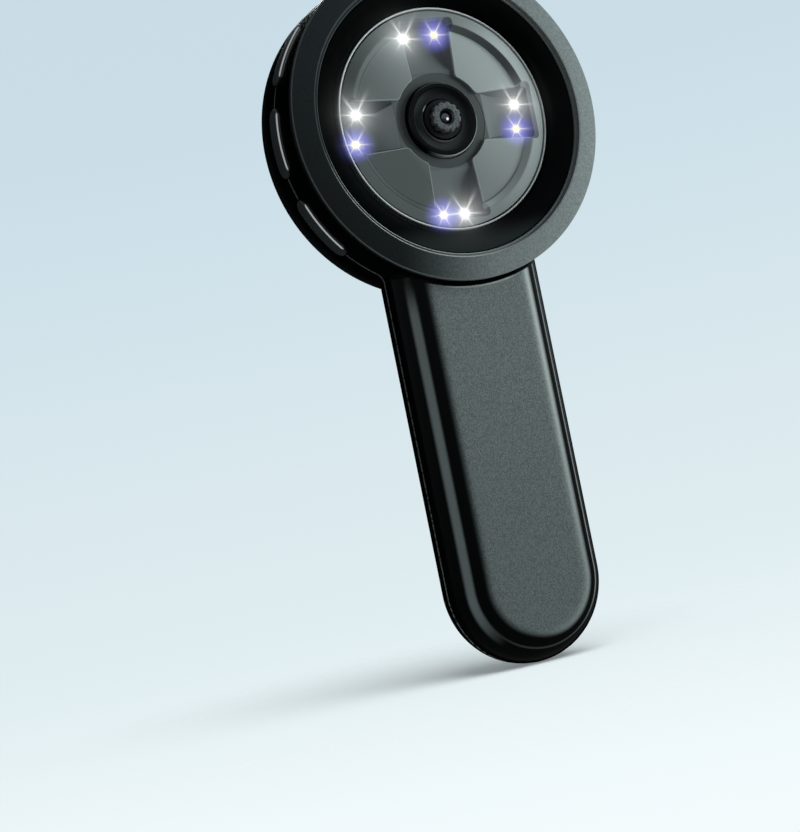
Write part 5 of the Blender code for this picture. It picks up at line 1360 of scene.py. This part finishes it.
class MICROSCOPE_OT_lamps(bpy.types.Operator):
    """Makes the white and violet lamps, lit."""

    bl_idname = "microscope.lamps"
    bl_label = "Lamps"

    def execute(self, context):
        finishes = [FINISHES["lamp_body"], FINISHES["lamp_cup"]]
        for node in lamp_nodes():
            back, front, half = back_of(node), front_of(node), lamp_half(node)
            cup = half * 0.3
            stages = [
                (-half, back), (0, back), (0, front - 0.0001), (-0.0001, front), (-cup, front),
                (-cup - 0.0001, front - 0.0002), (-cup - 0.0003, front - 0.0001),
                (-half * 0.7, front + 0.0001), (-half, front + 0.00018),
            ]
            points = box_rows(node, stages, LAMP_CORNER)
            piece = surface(node.replace("led", "lamp"), points, finishes, along=False, bands=[(4, 8, 1)])
            wear(piece, "housing", node[: node.index("led") + 3], node)
        return {"FINISHED"}


class MICROSCOPE_OT_lens(bpy.types.Operator):
    """Makes the collar, the scalloped lens head and the lens glass, whose dome is a quarter
    of an ellipse: (radius cos t, top - crown (1 - sin t))."""

    bl_idname = "microscope.lens"
    bl_label = "Lens"

    def execute(self, context):
        size = sizes("lens")
        outer = radius_of("lens_collar")
        front, back = front_of("lens_collar"), back_of("lens_collar")
        floor = front - size.collar_dish
        lip = size.collar_bore + size.collar_lip
        corners = [
            (size.collar_bore, back), (outer, back), (outer, front), (outer - size.collar_edge * 1.6, front),
            (outer - size.collar_edge * 2.6, floor), (lip + size.collar_lip, floor),
            (lip, floor + size.collar_lip / 2), (size.collar_bore, floor + size.collar_lip / 2),
        ]
        reach = [0, 0, size.collar_edge * 0.8, 0.0003, 0.0005, 0.0002, 0.00008, 0.0001]
        piece = turned("lens_bezel", rounded(corners, reach, 8), [FINISHES["collar"]], SMALL_TURN_STEPS)
        wear(piece, "housing", "gloss_black", "lens_collar")
        self.make_head(size)
        low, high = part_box("lens_glass")
        radius = (high.x - low.x) / 2
        top, back = -low.y, -high.y
        turn = np.linspace(0, math.pi / 2, 13)
        crown = 0.0004
        dome = np.stack([radius * np.cos(turn), top - crown * (1 - np.sin(turn))], axis=-1)
        profile = np.concatenate([[(0, back), (radius, back)], dome])
        piece = turned("lens_window", profile, [FINISHES["lens_glass"]], SMALL_TURN_STEPS)
        wear(piece, "housing", "optical_glass", "lens_glass")
        return {"FINISHED"}

    def make_head(self, size):
        """Rings whose radius dips at each scallop: r - d max(0, cos(n a))^0.7."""
        outer = radius_of("lens_barrel")
        front, back = front_of("lens_barrel"), back_of("lens_barrel")
        head_back = front - size.head_height
        thread, stop = outer - 0.0004, 0.0011
        glass_back = back_of("lens_glass") - CLEARANCE
        rows = [
            (thread, back, 0), (thread, head_back, 0), (outer, head_back, 1), (outer, front - 0.00025, 1),
            (outer - 0.00008, front - 0.0001, 1), (outer - 0.00025, front, 1), (outer - 0.0009, front, 0.6),
            (size.mouth + 0.0001, front, 0), (size.mouth, front - 0.0001, 0),
            (size.bore, front - size.mouth_drop, 0), (size.bore, glass_back, 0), (stop, glass_back, 0),
            (stop, back, 0),
        ]
        radius, depth, dip = (np.array(rows)[:, index, None] for index in range(3))
        angles = np.arange(size.scallops * 16) * math.tau / (size.scallops * 16)
        wave = np.maximum(np.cos(angles * size.scallops), 0) ** 0.7
        outline = polar(radius - dip * size.scallop * wave[None], angles[None])
        finishes = [FINISHES["lens_head"], FINISHES["thread"]]
        piece = surface("lens_head", lay(outline, depth), finishes, bands=[(0, 2, 1), (8, 13, 1)])
        wear(piece, "housing", "black_metal", "lens_barrel")


class MICROSCOPE_OT_buttons(bpy.types.Operator):
    """Makes the three side buttons, each on its own body. A quarter circle rounds the edge
    of the face, which follows the rim: edge (1 - cos t) inwards and edge (1 - sin t) down."""

    bl_idname = "microscope.buttons"
    bl_label = "Buttons"

    def execute(self, context):
        size = sizes("buttons")
        foot = HEAD_RADIUS - sizes("housing").wall - CLEARANCE
        face = HEAD_RADIUS + size.proud
        long, wide = size.half_length, size.half_width
        middle = long - wide
        flange, thick = 0.0008, 0.001
        rim = [
            (long - size.edge * (1 - cosine), wide - size.edge * (1 - cosine), face - size.edge * (1 - sine))
            for sine, cosine in zip(*edge_arc(6))
        ]
        stages = [
            (middle, 0, foot - thick), (long + flange, wide + flange, foot - thick),
            (long + flange, wide + flange, foot), (long, wide, foot), *rim,
            (long - wide * 0.6, wide * 0.4, face + 0.00008), (middle, 0, face + 0.0001),
        ]
        for name, angle in button_angles().items():
            node = f"{name}_button"
            piece = surface(f"{name}_key", pill_rows(stages, angle), [FINISHES["button"]], along=False)
            wear(piece, node, "button_rubber", node)
        return {"FINISHED"}


class MICROSCOPE_OT_display(bpy.types.Operator):
    """Makes the round cover glass on the back."""

    bl_idname = "microscope.display"
    bl_label = "Display"

    def execute(self, context):
        radius = radius_of("display_glass")
        front, back = front_of("display_glass"), back_of("display_glass")
        corners = [(0, front), (radius, front), (radius, back), (0, back)]
        piece = turned("cover_glass", rounded(corners, [0, 0.0001, 0.0003, 0]), [FINISHES["screen"]])
        wear(piece, "housing", "display_glass", "display_glass")
        return {"FINISHED"}


class MICROSCOPE_OT_socket(bpy.types.Operator):
    """Makes the charging socket in the side of the head."""

    bl_idname = "microscope.socket"
    bl_label = "Charging Socket"

    def execute(self, context):
        half_width, half_height, start, mouth = socket_sizes()
        line = half_width - half_height
        sheet, edge, room = 0.0003, 0.0001, 0.006
        stages = [
            (line, 0, start), (half_width, half_height, start), (half_width, half_height, mouth - edge),
            (half_width - edge, half_height - edge, mouth),
            (half_width - sheet + edge, half_height - sheet + edge, mouth),
            (half_width - sheet, half_height - sheet, mouth - edge),
            (half_width - sheet, half_height - sheet, mouth - room), (line, 0, mouth - room),
        ]
        piece = surface("charging_socket", socket_rows(stages), [FINISHES["steel"]], along=False)
        half_long, half_thick = 0.00335, 0.00035
        low, high = mouth - room - 0.0002, mouth - room + 0.005
        line = half_long - half_thick
        stages = [
            (line, 0, low), (half_long, half_thick, low), (half_long, half_thick, high - 0.0003),
            (half_long - 0.0002, half_thick - 0.0002, high), (line, 0, high),
        ]
        blade = surface("socket_tongue", socket_rows(stages), [FINISHES["thread"]], along=False)
        wear(blade, "housing", "steel")
        wear(piece, "housing", "steel", "usb_socket")
        return {"FINISHED"}


INSIDE_FINISHES = {
    "gloss_black": ((0.004, 0.004, 0.004), 0.2, 0.0),
    "board_green": ((0.02, 0.11, 0.05), 0.42, 0.0),
    "chip_black": ((0.018, 0.018, 0.019), 0.5, 0.0),
    "steel": ((0.55, 0.55, 0.56), 0.32, 1.0),
    "flex_amber": ((0.42, 0.21, 0.04), 0.4, 0.0),
    "display_glass": ((0.006, 0.007, 0.008), 0.1, 0.0),
    "foam": ((0.03, 0.03, 0.03), 0.9, 0.0),
    "battery_foil": ((0.6, 0.61, 0.63), 0.34, 0.85),
    "white_led": ((0.8, 0.8, 0.76), 0.4, 0.0),
    "lead_red": ((0.45, 0.02, 0.02), 0.42, 0.0),
    "lead_black": ((0.012, 0.012, 0.012), 0.42, 0.0),
}


class MICROSCOPE_OT_inside(bpy.types.Operator):
    """Gives the CAD nodes that stay in view through gaps their own finishes."""

    bl_idname = "microscope.inside"
    bl_label = "Inside Finishes"

    def execute(self, context):
        made = {}
        for name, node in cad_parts.items():
            if node.hide_render:
                continue
            slot = node.material_slots[0].material.name.split(".")[0]
            shade, roughness, metallic = INSIDE_FINISHES[slot]
            if slot not in made:
                made[slot] = plain_finish(
                    "inside_" + slot, shade, roughness, metallic, level=0.1, relief=0.00001
                )
            node.material_slots[0].material = made[slot]
        return {"FINISHED"}


# Stage

LAMP_COLOUR = (0.90, 1.0, 0.98)
LAMP_DISTANCE = 0.6
SUN_HEIGHT = math.radians(60)
SUN_SPREAD = math.radians(56)


def add_aimed(name, data, place, aim, roll=0.0):
    """Adds a camera or lamp at a place that looks at an aim."""
    thing = add_object(name, data)
    thing.location = place
    thing.rotation_mode = "QUATERNION"
    turn = (Vector(aim) - Vector(place)).to_track_quat("-Z", "Y")
    thing.rotation_quaternion = turn @ Quaternion((0, 0, 1), roll)
    return thing


def add_lamp(name, azimuth, elevation, width, height, radiance, matt=True, mirrored=False):
    """A soft lamp on a sphere round the head, seen by matt surfaces, in mirrored ones or
    both. Azimuth 0 is in front and 90 on the right."""
    aim = Vector((0, 0, HEAD_HEIGHT * 0.5))
    turn, rise = math.radians(azimuth), math.radians(elevation)
    offset = Vector((math.sin(turn) * math.cos(rise), -math.cos(turn) * math.cos(rise), math.sin(rise)))
    data = bpy.data.lights.new(name, "AREA")
    data.shape = "RECTANGLE"
    data.size, data.size_y = width, height
    data.energy = radiance * math.pi * width * height
    data.color = LAMP_COLOUR
    lamp = add_aimed(name, data, aim + offset * LAMP_DISTANCE, aim)
    lamp.visible_camera = False
    lamp.visible_diffuse, lamp.visible_glossy = matt, mirrored
    return lamp


def link_light(lamp, receiver, state):
    """Makes a lamp light one object alone, or all but that one."""
    receivers = bpy.data.collections.new(lamp.name + "_receivers")
    receivers.objects.link(receiver)
    receivers.collection_objects[0].light_linking.link_state = state
    lamp.light_linking.receiver_collection = receivers


class MICROSCOPE_OT_stage(bpy.types.Operator):
    """Makes the camera, the lamps, the pale floor and the backdrop."""

    bl_idname = "microscope.stage"
    bl_label = "Stage"

    def execute(self, context):
        stage = sizes("stage")
        data = bpy.data.cameras.new("camera")
        data.sensor_fit = "HORIZONTAL"
        data.sensor_width = 36
        data.lens = stage.lens
        data.clip_start = 0.01
        camera = add_aimed("camera", data, stage.camera_place, stage.camera_aim, stage.camera_roll)
        context.scene.camera = camera
        context.scene.view_settings.view_transform = "Standard"
        key = add_lamp("key_lamp", 70, 3, 0.40, 0.46, stage.key_light)
        add_lamp("edge_lamp", -60, 3, 0.20, 0.50, stage.edge_light, matt=False, mirrored=True)
        back = add_lamp("back_lamp", 155, 30, 0.26, 0.26, stage.back_light, mirrored=True)
        self.make_flag()
        self.make_world(stage)
        floor = self.make_floor(stage)
        link_light(key, floor, "EXCLUDE")
        link_light(back, floor, "EXCLUDE")
        link_light(self.make_floor_lamp(stage), floor, "INCLUDE")
        return {"FINISHED"}

    def make_flag(self):
        """A black screen behind the object that only reflections show: a grid of points at a
        constant y."""
        across, upright = np.meshgrid(np.linspace(-0.9, 0.9, 5), np.linspace(-0.6, 1.0, 5))
        points = np.stack([across, np.full_like(across, 0.5), upright], axis=-1)
        black = plain_finish("black_flag", (0.002, 0.002, 0.002), 0.9, level=0.0, size=0.1)
        flag = add_object("flag", grid_mesh("flag", points, np.arange(25).reshape(5, 5), [black]))
        flag.visible_camera = flag.visible_diffuse = flag.visible_shadow = flag.visible_transmission = False

    def backdrop(self, paint, height):
        """The backdrop's colour by the height of a line of sight: its z when it has length 1."""
        tones = sizes("colours")
        upper = paint.mix(paint.step(height, -0.12, 0.30), tones.backdrop_low, tones.backdrop_high)
        return paint.mix(paint.step(height, -0.20, -0.03), tones.backdrop_foot, upper)

    def make_world(self, stage):
        """Pale backdrop for what is seen, straight or in a reflection, and even light for the
        rest."""
        world = bpy.data.worlds.new("studio")
        world.use_nodes = True
        bpy.context.scene.world = world
        paint = Paint(world.node_tree)
        paint.clear()
        direction = paint.node("ShaderNodeTexCoord", output=0)
        height = paint.node("ShaderNodeSeparateXYZ", inputs={0: direction}, output=2)
        path = paint.node("ShaderNodeLightPath").socket.node.outputs
        mirrored = Value(paint, path["Is Glossy Ray"]) * paint.step(height, -0.1, 0.2)
        seen = Value(paint, path["Is Camera Ray"]) + mirrored
        seen = paint.smallest(seen + Value(paint, path["Is Transmission Ray"]), 1.0)
        view = paint.node("ShaderNodeBackground", inputs={0: self.backdrop(paint, height), 1: 1.0})
        light = paint.node("ShaderNodeBackground", inputs={0: (0.97, 1.0, 1.0), 1: stage.world_light})
        mixed = paint.node("ShaderNodeMixShader", inputs={0: seen, 1: light, 2: view})
        paint.node("ShaderNodeOutputWorld", inputs={0: mixed})

    def make_floor_lamp(self, stage):
        """A sun that lights the floor alone, so that the floor shows a soft shadow and its
        plain tone, pi times a share over the sine of the sun's height."""
        level, height = math.cos(SUN_HEIGHT), math.sin(SUN_HEIGHT)
        data = bpy.data.lights.new("floor_lamp", "SUN")
        data.energy = math.pi * (1 - stage.world_light) / height
        data.angle = SUN_SPREAD
        return add_aimed("floor_lamp", data, (level * 0.3, level * -0.95, height), (0, 0, 0))

    def make_floor(self, stage):
        """A disc under the grip: part matt for the shadow, part the backdrop's own colour, and
        clear towards its edge by the distance from its middle. Its tone is the backdrop's at
        the height z / |line| of the line from the camera's place to each point."""
        radii = np.linspace(0, stage.floor_radius, 9)[:, None]
        angles = np.arange(64)[None] * math.tau / 64
        flat = polar(radii, angles)
        points = np.concatenate([flat, np.full((*flat.shape[:2], 1), GRIP_LOW)], axis=-1)
        floor = surface("floor", points, [], along=False)
        material = bpy.data.materials.new("pale_floor")
        material.use_nodes = True
        paint = Paint(material.node_tree)
        paint.clear()
        place = paint.node("ShaderNodeTexCoord", output=3)
        distance = paint.node("ShaderNodeVectorMath", {"operation": "LENGTH"}, {0: place}, output=1)
        inputs = {0: place, 1: stage.camera_place}
        line = paint.node("ShaderNodeVectorMath", {"operation": "SUBTRACT"}, inputs)
        line = paint.node("ShaderNodeVectorMath", {"operation": "NORMALIZE"}, {0: line})
        shade = self.backdrop(paint, paint.node("ShaderNodeSeparateXYZ", inputs={0: line}, output=2))
        matt = paint.node("ShaderNodeBsdfDiffuse", inputs={0: shade})
        own = paint.node("ShaderNodeEmission", inputs={0: shade, 1: 1.0})
        pale = paint.node("ShaderNodeMixShader", inputs={0: 1 - stage.floor_shadow, 1: matt, 2: own})
        clear = paint.node("ShaderNodeBsdfTransparent")
        fade = paint.step(distance, stage.floor_radius * 0.15, stage.floor_radius * 0.9)
        shown = paint.node("ShaderNodeMixShader", inputs={0: fade, 1: pale, 2: clear})
        paint.node("ShaderNodeOutputMaterial", inputs={0: shown})
        floor.data.materials.append(material)
        floor.visible_glossy = False
        return floor


class MICROSCOPE_PT_pieces(bpy.types.Panel):
    """Lists the microscope's pieces and sizes."""

    bl_idname = "MICROSCOPE_PT_pieces"
    bl_label = "Microscope"
    bl_space_type = "VIEW_3D"
    bl_region_type = "UI"
    bl_category = "Microscope"

    def draw(self, context):
        for operator in OPERATORS:
            self.layout.operator(operator.bl_idname)
        for group in GROUPS:
            box = self.layout.box()
            box.label(text=group.title())
            settings = sizes(group)
            for name in settings.bl_rna.properties.keys():
                if name not in ("rna_type", "name"):
                    box.prop(settings, name)


GROUPS = {
    "housing": HousingSizes,
    "front": FrontSizes,
    "lens": LensSizes,
    "buttons": ButtonSizes,
    "colours": Colours,
    "stage": StageSettings,
}
OPERATORS = (
    MICROSCOPE_OT_case,
    MICROSCOPE_OT_contact_ring,
    MICROSCOPE_OT_light_well,
    MICROSCOPE_OT_reflector,
    MICROSCOPE_OT_lamps,
    MICROSCOPE_OT_lens,
    MICROSCOPE_OT_buttons,
    MICROSCOPE_OT_display,
    MICROSCOPE_OT_socket,
    MICROSCOPE_OT_inside,
    MICROSCOPE_OT_stage,
)


def register():
    for cls in (*GROUPS.values(), *OPERATORS, MICROSCOPE_PT_pieces):
        bpy.utils.register_class(cls)
    for name, cls in GROUPS.items():
        setattr(bpy.types.Scene, "microscope_" + name, bpy.props.PointerProperty(type=cls))


def unregister():
    for name in GROUPS:
        delattr(bpy.types.Scene, "microscope_" + name)
    for cls in (*GROUPS.values(), *OPERATORS, MICROSCOPE_PT_pieces):
        bpy.utils.unregister_class(cls)


def main():
    register()
    FINISHES.update(make_finishes())
    bpy.ops.microscope.case()
    bpy.ops.microscope.contact_ring()
    bpy.ops.microscope.light_well()
    bpy.ops.microscope.reflector()
    bpy.ops.microscope.lamps()
    bpy.ops.microscope.lens()
    bpy.ops.microscope.buttons()
    bpy.ops.microscope.display()
    bpy.ops.microscope.socket()
    bpy.ops.microscope.inside()
    bpy.ops.microscope.stage()


if __name__ == "__main__":
    main()
